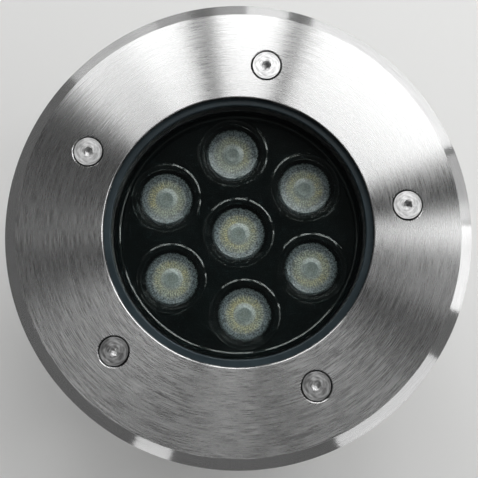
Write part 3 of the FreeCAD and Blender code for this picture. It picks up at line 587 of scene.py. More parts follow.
class SettledDust(SharedEffect):
    """A mask of the dust that lies on faces that look upwards."""

    name = "settled_dust"
    inputs = {"Amount": 0.2}
    outputs = ("Mask",)
    upward_range: Span = (0.25, 0.95)
    patches_per_metre: float = 170.0
    patch_range: Span = (0.35, 0.75)

    @classmethod
    def lay(cls, bench: Bench, given: object, result: object) -> None:
        """Dust grows with the upward part of the normal, in patches.

        Args:
            bench: the group's bench.
            given: the group's inputs.
            result: the group's outputs.
        """
        place = bench.add("TexCoord").outputs["Object"]
        upward = bench.span(facing_up(bench), *cls.upward_range)
        cover = bench.noise(place, cls.patches_per_metre, detail=6.0, roughness=0.7)
        patches = bench.span(cover, *cls.patch_range)
        amount = bench.math("MULTIPLY", bench.math("MULTIPLY", upward, patches), given["Amount"])
        bench.feed(result["Mask"], amount)


class EdgeWear(SharedEffect):
    """A mask of the edges that handling has rubbed."""

    name = "edge_wear"
    inputs = {"Amount": 0.5}
    outputs = ("Mask",)
    pointed_range: Span = (0.51, 0.56)
    breaks_per_metre: float = 260.0
    break_range: Span = (0.38, 0.62)

    @classmethod
    def lay(cls, bench: Bench, given: object, result: object) -> None:
        """Wear shows where the surface is pointed, in broken stretches.

        Args:
            bench: the group's bench.
            given: the group's inputs.
            result: the group's outputs.
        """
        place = bench.add("TexCoord").outputs["Object"]
        pointed = bench.span(bench.add("NewGeometry").outputs["Pointiness"], *cls.pointed_range)
        stretches = bench.noise(place, cls.breaks_per_metre, detail=4.0, roughness=0.65)
        broken = bench.span(stretches, *cls.break_range)
        amount = bench.math("MULTIPLY", bench.math("MULTIPLY", pointed, broken), given["Amount"])
        bench.feed(result["Mask"], amount)


class TurningMarks(SharedEffect):
    """Concentric hairlines about an upright axis, as a lathe or a brush leaves them."""

    name = "turning_marks"
    inputs = {"Place": (0.0, 0.0, 0.0), "Lines Per Metre": 2500.0, "Streaks": 9.0, "Sway": 0.02}
    outputs = ("Line", "Streak", "Normal")
    band_density: float = 0.13
    level_range: Span = (0.5, 0.8)

    @classmethod
    def lay(cls, bench: Bench, given: object, result: object) -> None:
        """Noise on (direction, radius) is long round the axis and short across it.

        Args:
            bench: the group's bench.
            given: the group's inputs.
            result: the group's outputs.
        """
        flat = bench.vector("MULTIPLY", given["Place"], (1.0, 1.0, 0.0)).outputs[0]
        radius = bench.vector("LENGTH", flat).outputs["Value"]
        outward = bench.vector("NORMALIZE", flat).outputs[0]
        turning = bench.vector("CROSS_PRODUCT", UP, outward).outputs[0]
        across = bench.math("MULTIPLY", radius, given["Lines Per Metre"])
        lines = cls.streaks(bench, outward, given["Streaks"], across)
        coarse = bench.math("MULTIPLY", across, cls.band_density)
        bands = cls.streaks(bench, outward, given["Streaks"], coarse)
        sway = bench.math("MULTIPLY", bench.math("SUBTRACT", lines, 0.5), given["Sway"])
        normal = bench.add("NewGeometry").outputs["Normal"]
        level_sway = bench.math("MULTIPLY", sway, bench.span(facing_up(bench), *cls.level_range))
        swayed = bench.vector("ADD", normal, bench.scaled(turning, level_sway)).outputs[0]
        bench.feed(result["Line"], lines)
        bench.feed(result["Streak"], bands)
        bench.feed(result["Normal"], bench.vector("NORMALIZE", swayed).outputs[0])

    @staticmethod
    def streaks(bench: Bench, outward: object, length: object,
                across: object) -> bpy.types.NodeSocket:
        """Noise that is drawn out round the axis.

        Args:
            bench: the group's bench.
            outward: the direction from the axis.
            length: how many times the noise changes in about a radian.
            across: where the point lies on the noise's third axis.

        Returns:
            The noise, about a half.
        """
        split = bench.add("SeparateXYZ", {0: bench.scaled(outward, length)}).outputs
        place = bench.add("CombineXYZ", {"X": split["X"], "Y": split["Y"], "Z": across}).outputs[0]
        return bench.noise(place, 1.0, detail=2.0, roughness=0.6)


def charted(bench: Bench) -> bpy.types.NodeSocket:
    """The point on a piece's chart, measured from the chart's middle."""
    chart_place = bench.add("TexCoord").outputs["UV"]
    return bench.vector("SUBTRACT", chart_place, (0.5, 0.5, 0.0)).outputs[0]


def from_axis(bench: Bench, place: object) -> bpy.types.NodeSocket:
    """A point's distance from the upright axis that it is measured from."""
    level = bench.vector("MULTIPLY", place, (1.0, 1.0, 0.0)).outputs[0]
    return bench.vector("LENGTH", level).outputs["Value"]


def across_lines(bench: Bench, place: object) -> bpy.types.NodeSocket:
    """The direction along the surface that crosses its turned lines.

    Args:
        bench: the material's bench.
        place: the point measured from the lines' upright axis, in the object's own directions.

    Returns:
        A world vector: outwards on a flat face, upwards or downwards on a wall.
    """
    radial = bench.vector("MULTIPLY", place, (1.0, 1.0, 0.0)).outputs[0]
    turning = bench.vector("CROSS_PRODUCT", UP, radial).outputs[0]
    outer = bench.add("VectorTransform", {0: turning}, vector_type="VECTOR",
                      convert_from="OBJECT", convert_to="WORLD").outputs[0]
    normal = bench.add("NewGeometry").outputs["Normal"]
    crossing = bench.vector("CROSS_PRODUCT", outer, normal).outputs[0]
    return bench.vector("NORMALIZE", crossing).outputs[0]


# ---------------------------------------------------------------- finishes
@dataclass(frozen=True)
class Moulded:
    """Plastic, rubber or powder coat: a cloudy colour under a fine grain."""

    name: str
    colour: Colour
    roughness: float
    grain: float = 0.5
    depth: float = 0.02
    mottling: float = 0.15
    flecks: float = 0.08
    dust: float = 0.15
    wear: float = 0.3
    specular: float = 0.5
    fleck_range: Span = (0.4, 0.6)
    worn_tint: float = 2.6
    dust_colour: Colour = (0.34, 0.32, 0.28)
    roughness_share: Span = (0.86, 1.16)

    def make(self) -> bpy.types.Material:
        """Make the material.

        Returns:
            The material.
        """
        material, bench = new_material(self.name)
        grain = MouldedGrain.use(bench, pips_per_metre=1.0 / (self.grain * MM))
        cloud = bench.mix(grain["Tone"], tinted(self.colour, 1.0 - self.mottling),
                          tinted(self.colour, 1.0 + self.mottling))
        fleck = bench.span(grain["Height"], *self.fleck_range, 1.0 - self.flecks, 1.0 + self.flecks)
        tone = bench.scaled(cloud, fleck)
        rubbed = EdgeWear.use(bench, amount=self.wear)["Mask"]
        worn = bench.mix(rubbed, tone, tinted(self.colour, self.worn_tint))
        settled = SettledDust.use(bench, amount=self.dust)["Mask"]
        dusty = bench.mix(settled, worn, self.dust_colour)
        smoothest, roughest = (self.roughness * share for share in self.roughness_share)
        rough = bench.span(grain["Tone"], 0.0, 1.0, smoothest, roughest)
        shader = bench.add("BsdfPrincipled", {
            "Base Color": dusty, "Roughness": rough, "Specular IOR Level": self.specular,
            "Normal": bench.bump(grain["Height"], self.depth)})
        surface(bench, shader.outputs[0])
        return material


@dataclass(frozen=True)
class TurnedSteel:
    """Stainless steel brushed in circles about the lamp's axis, with a finely turned chamfer.

    The painted shade in the countersinks lies between two radii, and grows between two depths.
    """

    name: str = "brushed_stainless"
    colour: Colour = (0.62, 0.62, 0.62)
    face_roughness: Span = (0.225, 0.315)
    face_range: Span = (0.25, 0.75)
    chamfer_roughness: float = 0.18
    chamfer_radius: float = 75.4
    line_spacing: float = 0.22
    line_range: Span = (0.3, 0.7)
    line_tint: float = 1.12
    streaks: float = 8.0
    streak_tints: Span = (0.9, 1.1)
    sway: float = 0.037
    # painted shade: the bore wall of the opening is darkened to this share of the steel's colour
    bore_radius: float = 46.03
    bore_shade_tint: float = 0.3
    # painted shade: the countersinks are darkened low down, in the gap round each screw head
    sink_reach: Span = (51.6, 66.0)
    sink_depth: Span = (0.26, 0.36)
    shade_tint: float = 0.06

    def make(self) -> bpy.types.Material:
        """Make the material: light spreads across its turned lines.

        Returns:
            The material.
        """
        material, bench = new_material(self.name)
        place = bench.add("TexCoord").outputs["Object"]
        marks = TurningMarks.use(bench, place=place, lines_per_metre=1.0 / (self.line_spacing * MM),
                                 streaks=self.streaks, sway=self.sway)
        radius = from_axis(bench, place)
        shader = bench.add("BsdfPrincipled", {
            "Base Color": self.tone(bench, marks, place, radius), "Metallic": 1.0,
            "Roughness": self.rough(bench, marks, radius), "Anisotropic": 1.0,
            "Tangent": across_lines(bench, place), "Normal": marks["Normal"]})
        surface(bench, shader.outputs[0])
        return material

    def tone(self, bench: Bench, marks: object, place: object,
             radius: object) -> bpy.types.NodeSocket:
        """The steel's colour, with painted shade in its bore and in the countersinks.

        Args:
            bench: the material's bench.
            marks: the outputs of the turning marks.
            place: the point on the ring.
            radius: its distance from the axis.

        Returns:
            The colour.
        """
        low, high = (tinted(self.colour, tint) for tint in self.streak_tints)
        streaked = bench.mix(marks["Streak"], low, high)
        lines = bench.span(marks["Line"], *self.line_range)
        lined = bench.mix(lines, streaked, tinted(self.colour, self.line_tint))
        # painted shade: the steel's colour is darkened low in the countersinks
        painted_sink_shade = self.painted_sink_shade(bench, place, radius)
        sink_shaded = bench.mix(painted_sink_shade, lined, tinted(self.colour, self.shade_tint))
        # painted shade on the bore wall, inside the opening's radius
        in_bore = bench.math("LESS_THAN", radius, self.bore_radius * MM)
        return bench.mix(in_bore, sink_shaded, tinted(self.colour, self.bore_shade_tint))

    def rough(self, bench: Bench, marks: object, radius: object) -> bpy.types.NodeSocket:
        """The roughness, which is lower and even on the chamfer.

        Args:
            bench: the material's bench.
            marks: the outputs of the turning marks.
            radius: the point's distance from the axis.

        Returns:
            The roughness.
        """
        face = bench.span(marks["Line"], *self.face_range, *self.face_roughness)
        on_chamfer = bench.math("GREATER_THAN", radius, self.chamfer_radius * MM)
        return bench.add("Mix", {0: on_chamfer, 2: face, 3: self.chamfer_roughness}).outputs[0]

    def painted_sink_shade(self, bench: Bench, place: object, radius: object) -> bpy.types.NodeSocket:
        """The painted shade that lies low in the screws' countersinks, in the gap round each head.

        Args:
            bench: the material's bench.
            place: the point on the ring.
            radius: its distance from the axis.

        Returns:
            A mask.
        """
        height = bench.add("SeparateXYZ", {0: place}).outputs["Z"]
        depth = bench.math("SUBTRACT", MM * top_of("trim_ring"), height)
        low = bench.span(depth, MM * self.sink_depth[0], MM * self.sink_depth[1])
        inner = bench.math("GREATER_THAN", radius, MM * self.sink_reach[0])
        outer = bench.math("LESS_THAN", radius, MM * self.sink_reach[1])
        return bench.math("MULTIPLY", low, bench.math("MULTIPLY", inner, outer))


@dataclass(frozen=True)
class TurnedFastener:
    """Satin steel with fine rings about a screw's own axis, read from its chart."""

    name: str = "turned_fastener"
    colour: Colour = (0.66, 0.66, 0.66)
    roughness: Span = (0.34, 0.48)
    anisotropy: float = 0.35
    line_spacing: float = 0.7
    line_range: Span = (0.3, 0.7)
    line_tints: Span = (0.6, 1.2)
    streaks: float = 1.2
    sway: float = 0.05
    relief: float = 0.03
    reach: float = 5.0
    # painted shade: a dark ring round the head's edge, in the gap to its countersink
    shade_reach: Span = (4.66, 4.82)
    shade_tint: float = 0.06

    def make(self) -> bpy.types.Material:
        """Make the material, with painted shade round the head's edge.

        Returns:
            The material.
        """
        material, bench = new_material(self.name)
        place = bench.scaled(charted(bench), 2 * self.reach * MM)
        marks = TurningMarks.use(bench, place=place, lines_per_metre=1.0 / (self.line_spacing * MM),
                                 streaks=self.streaks, sway=self.sway)
        lines = bench.span(marks["Line"], *self.line_range)
        low, high = (tinted(self.colour, tint) for tint in self.line_tints)
        # painted shade round the head's edge, darker towards its rim
        edge_shade = bench.span(from_axis(bench, place), *(MM * reach for reach in self.shade_reach))
        tone = bench.mix(edge_shade, bench.mix(lines, low, high), tinted(self.colour, self.shade_tint))
        rough = bench.span(marks["Line"], *self.line_range, *self.roughness)
        shader = bench.add("BsdfPrincipled", {
            "Base Color": tone, "Metallic": 1.0, "Roughness": rough, "Anisotropic": self.anisotropy,
            "Tangent": across_lines(bench, place), "Normal": bench.bump(marks["Line"], self.relief)})
        surface(bench, shader.outputs[0])
        return material


@dataclass(frozen=True)
class Metal:
    """Plated or drawn metal with faint stains and a fine random grain."""

    name: str
    colour: Colour
    roughness: float
    roughness_spread: Span = (0.08, -0.05)
    grain: float = 0.15
    depth: float = 0.008
    stains_per_metre: float = 220.0
    stain_tints: Span = (0.82, 1.08)

    def make(self) -> bpy.types.Material:
        """Make the material.

        Returns:
            The material.
        """
        material, bench = new_material(self.name)
        grain = MouldedGrain.use(bench, pips_per_metre=1.0 / (self.grain * MM),
                                 clouds_per_metre=self.stains_per_metre)
        dull, bright = (tinted(self.colour, tint) for tint in self.stain_tints)
        tone = bench.mix(grain["Tone"], dull, bright)
        stained, clean = (self.roughness + spread for spread in self.roughness_spread)
        rough = bench.span(grain["Tone"], 0.0, 1.0, stained, clean)
        shader = bench.add("BsdfPrincipled", {
            "Base Color": tone, "Metallic": 1.0, "Roughness": rough,
            "Normal": bench.bump(grain["Height"], self.depth)})
        surface(bench, shader.outputs[0])
        return material


@dataclass(frozen=True)
class ClearGlass:
    """Toughened glass with a faint green tint, which lets light through to the chamber."""

    name: str = "toughened_glass"
    colour: Colour = (0.93, 0.98, 0.96)
    smears_per_metre: float = 90.0
    smear_range: Span = (0.5, 0.85)
    smear_roughness: float = 0.02
    index: float = 1.5

    def make(self) -> bpy.types.Material:
        """Make the material: shadow rays pass it, so the chamber behind is lit.

        Returns:
            The material.
        """
        material, bench = new_material(self.name)
        place = bench.add("TexCoord").outputs["Object"]
        smears = bench.noise(place, self.smears_per_metre, detail=5.0, roughness=0.7)
        haze = bench.span(smears, *self.smear_range, 0.0, self.smear_roughness)
        glass = bench.add("BsdfPrincipled", {
            "Base Color": paint(self.colour), "Roughness": haze, "Transmission Weight": 1.0,
            "IOR": self.index})
        through = bench.add("BsdfTransparent", {"Color": paint(self.colour)})
        shadow = bench.add("LightPath").outputs["Is Shadow Ray"]
        both = bench.add("MixShader", {0: shadow, 1: glass.outputs[0], 2: through.outputs[0]})
        surface(bench, both.outputs[0])
        return material


@dataclass(frozen=True)
class FrostedLens:
    """A moulded lens seen from the front: rings of clear and frosted resin over a yellow diode.

    Each ring is the share of the lens's radius where its colour stands, and the colour. The ribs
    lie in a band that starts and fades between shares of the radius. The speckles' tints are for
    the lens's middle and for its rim.
    """

    name: str = "frosted_lens"
    rings: tuple[tuple[float, Colour], ...] = (
        (0.00, (0.125, 0.137, 0.128)), (0.22, (0.140, 0.155, 0.150)), (0.30, (0.215, 0.232, 0.232)),
        (0.41, (0.230, 0.228, 0.205)), (0.52, (0.205, 0.200, 0.170)), (0.66, (0.135, 0.138, 0.134)),
        (0.76, (0.084, 0.093, 0.104)), (0.86, (0.064, 0.074, 0.080)), (0.94, (0.040, 0.047, 0.050)),
        (0.98, (0.008, 0.010, 0.011)))
    warm_rib: Colour = (1.58, 1.32, 0.72)
    cool_rib: Colour = (1.26, 1.28, 1.22)
    gap: Colour = (0.60, 0.64, 0.64)
    rib_start: Span = (0.36, 0.46)
    rib_fade: Span = (0.62, 0.76)
    rib_count: float = 42.0
    rib_share: float = 0.62
    rib_wander: float = 4.0
    rib_relief: float = 0.05
    wanders_per_metre: float = 420.0
    blotches_per_metre: float = 900.0
    blotch_range: Span = (0.35, 0.65)
    drifts_per_metre: float = 75.0
    drift_range: Span = (0.34, 0.66)
    speckle_size: float = 0.55
    speckle_range: Span = (0.40, 0.62)
    speckle_reach: Span = (0.2, 0.8)
    dark_speckles: Span = (0.80, 0.5)
    light_speckles: Span = (1.25, 1.75)
    polish_reach: Span = (0.62, 0.86)
    roughness: Span = (0.36, 0.16)
    coat: float = 0.8
    coat_roughness: float = 0.2

    def make(self) -> bpy.types.Material:
        """Make the material from the chart's radius, which is 1 at the rim.

        Returns:
            The material.
        """
        material, bench = new_material(self.name)
        centred = charted(bench)
        radius = bench.math("MULTIPLY", bench.vector("LENGTH", centred).outputs["Value"], 2.0)
        place = bench.add("TexCoord").outputs["Object"]
        band = bench.math("MULTIPLY", bench.span(radius, *self.rib_start),
                          bench.span(radius, *self.rib_fade, 1.0, 0.0))
        ribs = self.ribs(bench, centred, place)
        ring = bench.ramp(radius, self.rings, "B_SPLINE")
        hue = self.hue(bench, ribs, band, place)
        tone = bench.scaled(bench.vector("MULTIPLY", ring, hue).outputs[0],
                            self.speckle(bench, radius, place))
        rough = bench.span(radius, *self.polish_reach, *self.roughness)
        relief = bench.bump(bench.math("MULTIPLY", ribs, band), self.rib_relief)
        shader = bench.add("BsdfPrincipled", {
            "Base Color": tone, "Roughness": rough, "Coat Weight": self.coat,
            "Coat Roughness": self.coat_roughness, "Normal": relief})
        surface(bench, shader.outputs[0])
        return material

    def hue(self, bench: Bench, ribs: object, band: object, place: object) -> bpy.types.NodeSocket:
        """The tint of the ribs, which is yellow in places, and white outside their band.

        Args:
            bench: the material's bench.
            ribs: the ribs' height.
            band: the mask of their band.
            place: the point on the lens.

        Returns:
            The tint.
        """
        patches = bench.noise(place, self.drifts_per_metre, detail=3.0, roughness=0.8)
        drift = bench.span(patches, *self.drift_range)
        ribbed = bench.mix(ribs, self.gap, bench.mix(drift, self.cool_rib, self.warm_rib))
        return bench.mix(band, (1.0, 1.0, 1.0), ribbed)

    def speckle(self, bench: Bench, radius: object, place: object) -> bpy.types.NodeSocket:
        """The frost's speckles, which are stronger towards the rim.

        Args:
            bench: the material's bench.
            radius: the point's distance from the lens's axis.
            place: the point on the lens.

        Returns:
            How much lighter or darker the point is.
        """
        grit = bench.noise(place, 1.0 / (self.speckle_size * MM), detail=1.0, roughness=0.7)
        dark = bench.span(radius, *self.speckle_reach, *self.dark_speckles)
        light = bench.span(radius, *self.speckle_reach, *self.light_speckles)
        return bench.span(grit, *self.speckle_range, dark, light)

    def ribs(self, bench: Bench, centred: object, place: object) -> bpy.types.NodeSocket:
        """Radial ribs, bent and broken by noise that differs from one lens to the next.

        Args:
            bench: the material's bench.
            centred: the point on the chart, from its middle.
            place: the point on the lens.

        Returns:
            The ribs' height.
        """
        split = bench.add("SeparateXYZ", {0: centred}).outputs
        bearing = bench.math("ARCTAN2", split["Y"], split["X"])
        bends = bench.noise(place, self.wanders_per_metre, detail=2.0)
        wander = bench.math("MULTIPLY", bends, self.rib_wander)
        phase = bench.math("MULTIPLY_ADD", bearing, self.rib_count, wander)
        wave = bench.math("MULTIPLY_ADD", bench.math("SINE", phase), 0.5, 0.5)
        mottle = bench.noise(place, self.blotches_per_metre, detail=2.0, roughness=0.6)
        blotches = bench.math("MULTIPLY", bench.span(mottle, *self.blotch_range),
                              1.0 - self.rib_share)
        return bench.math("MULTIPLY_ADD", wave, self.rib_share, blotches)


@dataclass(frozen=True)
class PaleFloor:
    """A plain pale studio floor."""

    name: str = "studio_floor"
    colour: Colour = (0.80, 0.80, 0.79)
    cloud_tints: Span = (0.985, 1.01)
    clouds_per_metre: float = 3.0
    roughness: float = 0.7
    specular: float = 0.2

    def make(self) -> bpy.types.Material:
        """Make the material.

        Returns:
            The material.
        """
        material, bench = new_material(self.name)
        place = bench.add("TexCoord").outputs["Object"]
        low, high = (tinted(self.colour, tint) for tint in self.cloud_tints)
        tone = bench.mix(bench.noise(place, self.clouds_per_metre), low, high)
        shader = bench.add("BsdfPrincipled", {
            "Base Color": tone, "Roughness": self.roughness, "Specular IOR Level": self.specular})
        surface(bench, shader.outputs[0])
        return material


WIRE_COLOURS = {
    "red": (0.52, 0.03, 0.03),
    "black": (0.02, 0.02, 0.02),
    "brown": (0.19, 0.085, 0.04),
    "blue": (0.05, 0.15, 0.48),
}
FINISHES = {
    "brushed_stainless": TurnedSteel(),
    "stainless_fastener": TurnedFastener(),
    "cast_aluminium": Moulded("powder_coated_casting", (0.034, 0.034, 0.037), 0.40,
                              grain=0.7, depth=0.12, mottling=0.25, flecks=0.25, wear=0.4),
    "clear_glass": ClearGlass(),
    "grey_silicone": Moulded("grey_silicone", (0.022, 0.033, 0.039), 0.40,
                             grain=0.9, depth=0.004, dust=0.0, wear=0.0, specular=0.22),
    "black_plate": Moulded("glossy_black_plate", (0.0018, 0.0030, 0.0032), 0.07,
                           grain=1.4, depth=0.003, dust=0.0, wear=0.0, specular=0.8),
    "frosted_lens": FrostedLens(),
    "led_phosphor": Moulded("diode_phosphor", (0.80, 0.58, 0.14), 0.3, dust=0.0, wear=0.0),
    "board_white": Moulded("board_mask", (0.78, 0.78, 0.76), 0.35,
                           depth=0.004, mottling=0.04, dust=0.0),
    "thermal_pad_grey": Moulded("thermal_pad", (0.40, 0.41, 0.45), 0.7, dust=0.0, wear=0.0),
    "zinc_screw": Metal("zinc_plate", (0.62, 0.63, 0.64), 0.32),
    "black_rubber": Moulded("black_rubber", (0.022, 0.022, 0.024), 0.58,
                            grain=0.6, depth=0.04, mottling=0.2, wear=0.1),
    "driver_plastic": Moulded("driver_case", (0.055, 0.055, 0.06), 0.5,
                              grain=0.4, depth=0.03, dust=0.0),
    "potting_resin": Moulded("potting_resin", (0.03, 0.03, 0.03), 0.22,
                             grain=4.0, depth=0.08, dust=0.0),
    "terminal_plastic": Moulded("terminal_plastic", (0.78, 0.77, 0.71), 0.4, depth=0.01, dust=0.0),
    "brass": Metal("drawn_brass", (0.74, 0.55, 0.25), 0.28),
    "gland_nylon": Moulded("gland_nylon", (0.028, 0.028, 0.03), 0.38,
                           grain=0.5, depth=0.03, mottling=0.25),
    "sleeve_plastic": Moulded("spark_textured_sleeve", (0.031, 0.031, 0.033), 0.48,
                              grain=0.8, depth=0.22, mottling=0.3, flecks=0.4, wear=0.25),
    **{f"wire_{hue}": Moulded(f"{hue}_insulation", colour, 0.35, depth=0.005, dust=0.0)
       for hue, colour in WIRE_COLOURS.items()},
}


class Finishes:
    """The materials of the record's slots, each made once."""

    def __init__(self) -> None:
        """Start with none made."""
        self.made: dict[str, bpy.types.Material] = {}

    def of(self, slot: str) -> bpy.types.Material:
        """Make a slot's material, or find it again.

        Args:
            slot: the slot's name in the record.

        Returns:
            The material.
        """
        if slot not in self.made:
            self.made[slot] = FINISHES[slot].make()
        return self.made[slot]

    def for_node(self, node: str) -> bpy.types.Material:
        """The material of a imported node."""
        return self.of(slot_of(node))


# ---------------------------------------------------------------- sub-assemblies
@dataclass
class FaceRing:
    """The steel ring on top, and the five countersunk screws that hold it."""

    finishes: Finishes
    opening: float = 46.0
    opening_chamfer: float = 0.25
    rebate: float = 51.5
    lip: float = 2.0
    thickness: float = 4.5
    chamfer_width: float = 4.6
    chamfer_height: float = 3.0
    drip_start: float = 70.6
    drip_width: float = 1.4
    drip_depth: float = 0.6
    sink_radius: float = 5.2
    sink_edge: float = 0.3
    sink_land: float = 0.5
    hole_radius: float = 2.7
    screw_radius: float = 2.5
    head_radius: float = 5.0
    head_land: float = 0.3
    head_edge: float = 0.22
    screw_length: float = 12.0
    screw_tip: float = 0.6
    thread_pitch: float = 0.8
    thread_depth: float = 0.38
    key: float = 3.0
    key_depth: float = 1.9
    key_cone: float = 0.5
    key_tip: float = 0.1
    key_turns: tuple[float, ...] = (12.0, 41.0, 7.0, 33.0, 24.0)
    clear: float = 1.0
    ring_rounding: float = 0.09
    screw_rounding: float = 0.06
    top: float = field(init=False)
    radius: float = field(init=False)

    def __post_init__(self) -> None:
        """Take the ring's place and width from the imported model."""
        self.top = top_of("trim_ring")
        self.radius = reach_of("trim_ring")

    def build(self) -> None:
        """Make the ring and its screws."""
        install(self.make_ring(), "trim", "trim_ring", self.finishes.for_node("trim_ring"))
        model = self.make_screw()
        for number, turn in enumerate(self.key_turns, start=1):
            node = f"trim_screw_{number}"
            centre = middle_of(node)
            screw = placed_copy(model, f"{node}_finished", centre, turn)
            chart(screw, centre, self.head_radius)
            install(screw, f"screw_{number}", node, self.finishes.for_node(node))
        discard(model)

    def make_ring(self) -> bpy.types.Object:
        """Turn the ring, with its drip groove, and sink its screw holes.

        Returns:
            The ring.
        """
        foot = self.top - self.thickness
        drip_top = foot + self.drip_depth
        drip_end = self.drip_start + self.drip_width
        ring = turned("trim_ring_finished", [
            (self.rebate, foot), (self.drip_start, foot), (self.drip_start, drip_top),
            (drip_end, drip_top), (drip_end, foot), (self.radius, foot),
            (self.radius, self.top - self.chamfer_height),
            (self.radius - self.chamfer_width, self.top),
            (self.opening + self.opening_chamfer, self.top),
            (self.opening, self.top - self.opening_chamfer),
            (self.opening, self.top - self.lip), (self.rebate, self.top - self.lip),
        ], Closing.RING, Steps.WIDE)
        carve(ring, [self.make_sink(middle_of(f"trim_screw_{number + 1}"))
                     for number in range(len(self.key_turns))])
        soften(ring, self.ring_rounding)
        return ring

    def make_sink(self, centre: Point) -> bpy.types.Object:
        """The shape that a countersink takes out of the ring.

        Args:
            centre: where its screw stands, in millimetres.

        Returns:
            The shape, which stands clear of the ring at both ends.
        """
        land = self.top - self.sink_land
        cone_end = land - (self.sink_radius - self.hole_radius)
        return turned("sink", [
            (self.sink_radius + self.sink_edge + self.clear, self.top + self.clear),
            (self.sink_radius, self.top - self.sink_edge), (self.sink_radius, land),
            (self.hole_radius, cone_end),
            (self.hole_radius, self.top - self.thickness - self.clear),
        ], Closing.CAPS, Steps.MEDIUM, centre)

    def make_screw(self) -> bpy.types.Object:
        """Make a countersunk socket screw on the origin's axis, with its thread as rings.

        Returns:
            The screw.
        """
        head = self.top - self.head_land
        neck = head - (self.head_radius - self.screw_radius)
        tip = self.top - self.screw_length
        profile = [(self.head_radius - self.head_edge, self.top), (self.head_radius, head),
                   (self.screw_radius, neck)]
        crest = neck - self.thread_pitch
        while crest > tip + self.screw_tip + self.thread_pitch:
            profile += [(self.screw_radius, crest),
                        (self.screw_radius - self.thread_depth, crest - self.thread_pitch / 2)]
            crest -= self.thread_pitch
        profile += [(self.screw_radius, tip + self.screw_tip),
                    (self.screw_radius - self.screw_tip, tip)]
        screw = turned("screw_model", profile, Closing.CAPS, Steps.SMALL)
        carve(screw, [self.make_key()])
        soften(screw, self.screw_rounding)
        return screw

    def make_key(self) -> bpy.types.Object:
        """The hexagonal shape of the socket, with the drill's cone at its bottom.

        Returns:
            The shape, which stands clear of the screw's top.
        """
        corner = self.key / math.sqrt(3.0)
        clear_selection()
        bpy.ops.mesh.primitive_circle_add(vertices=6, radius=MM * corner, fill_type="NGON",
                                          location=(0.0, 0.0, MM * (self.top + self.clear)))
        key = bpy.context.active_object
        settle(key)
        with editing(key):
            for drop in (self.clear + self.key_depth, self.key_cone):
                bpy.ops.mesh.extrude_region_move(
                    TRANSFORM_OT_translate={"value": (0.0, 0.0, -MM * drop)})
            bpy.ops.transform.resize(value=(self.key_tip, self.key_tip, 1.0),
                                     center_override=(0.0, 0.0, 0.0))
            bpy.ops.mesh.select_all(action="SELECT")
            bpy.ops.mesh.normals_make_consistent(inside=False)
        return key


@dataclass
class GlassSeal:
    """The thick glass and the silicone seal that grips its rim."""

    finishes: Finishes
    chamfer: float = 0.6
    mouth: float = 43.7
    bore: float = 48.8
    foot_bore: float = 46.7
    lip: float = 1.2
    mouth_round: float = 0.35
    ring_gap: float = 0.01
    glass_rounding: float = 0.12
    seal_rounding: float = 0.1
    mouth_steps: int = 4

    def build(self) -> None:
        """Make the glass and its seal."""
        for node, piece in (("glass_lens", self.make_glass()), ("glass_gasket", self.make_seal())):
            install(piece, "lamp", node, self.finishes.for_node(node))

    def make_glass(self) -> bpy.types.Object:
        """Turn the disc, with ground edges.

        Returns:
            The glass.
        """
        low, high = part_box("glass_lens")
        radius, foot, top = reach_of("glass_lens"), low.z / MM, high.z / MM
        inner = radius - self.chamfer
        glass = turned("glass_lens_finished", [
            (inner, foot), (radius, foot + self.chamfer), (radius, top - self.chamfer), (inner, top),
        ], Closing.CAPS, Steps.WIDE)
        soften(glass, self.glass_rounding)
        return glass

    def make_seal(self) -> bpy.types.Object:
        """Turn the U-shaped seal, with a rounded mouth that ends just under the ring.

        Returns:
            The seal.
        """
        low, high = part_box("glass_gasket")
        radius, foot, top = reach_of("glass_gasket"), low.z / MM, high.z / MM - self.ring_gap
        centre = (self.mouth + self.mouth_round, top - self.mouth_round)
        mouth = arc(centre, self.mouth_round, 90.0, 180.0, self.mouth_steps)
        seal = turned("glass_gasket_finished", [
            (self.foot_bore, foot), (radius, foot), (radius, top), *mouth,
            (self.mouth, top - self.lip), (self.bore, top - self.lip),
            (self.bore, foot + self.lip), (self.foot_bore, foot + self.lip),
        ], Closing.RING, Steps.WIDE)
        soften(seal, self.seal_rounding)
        return seal


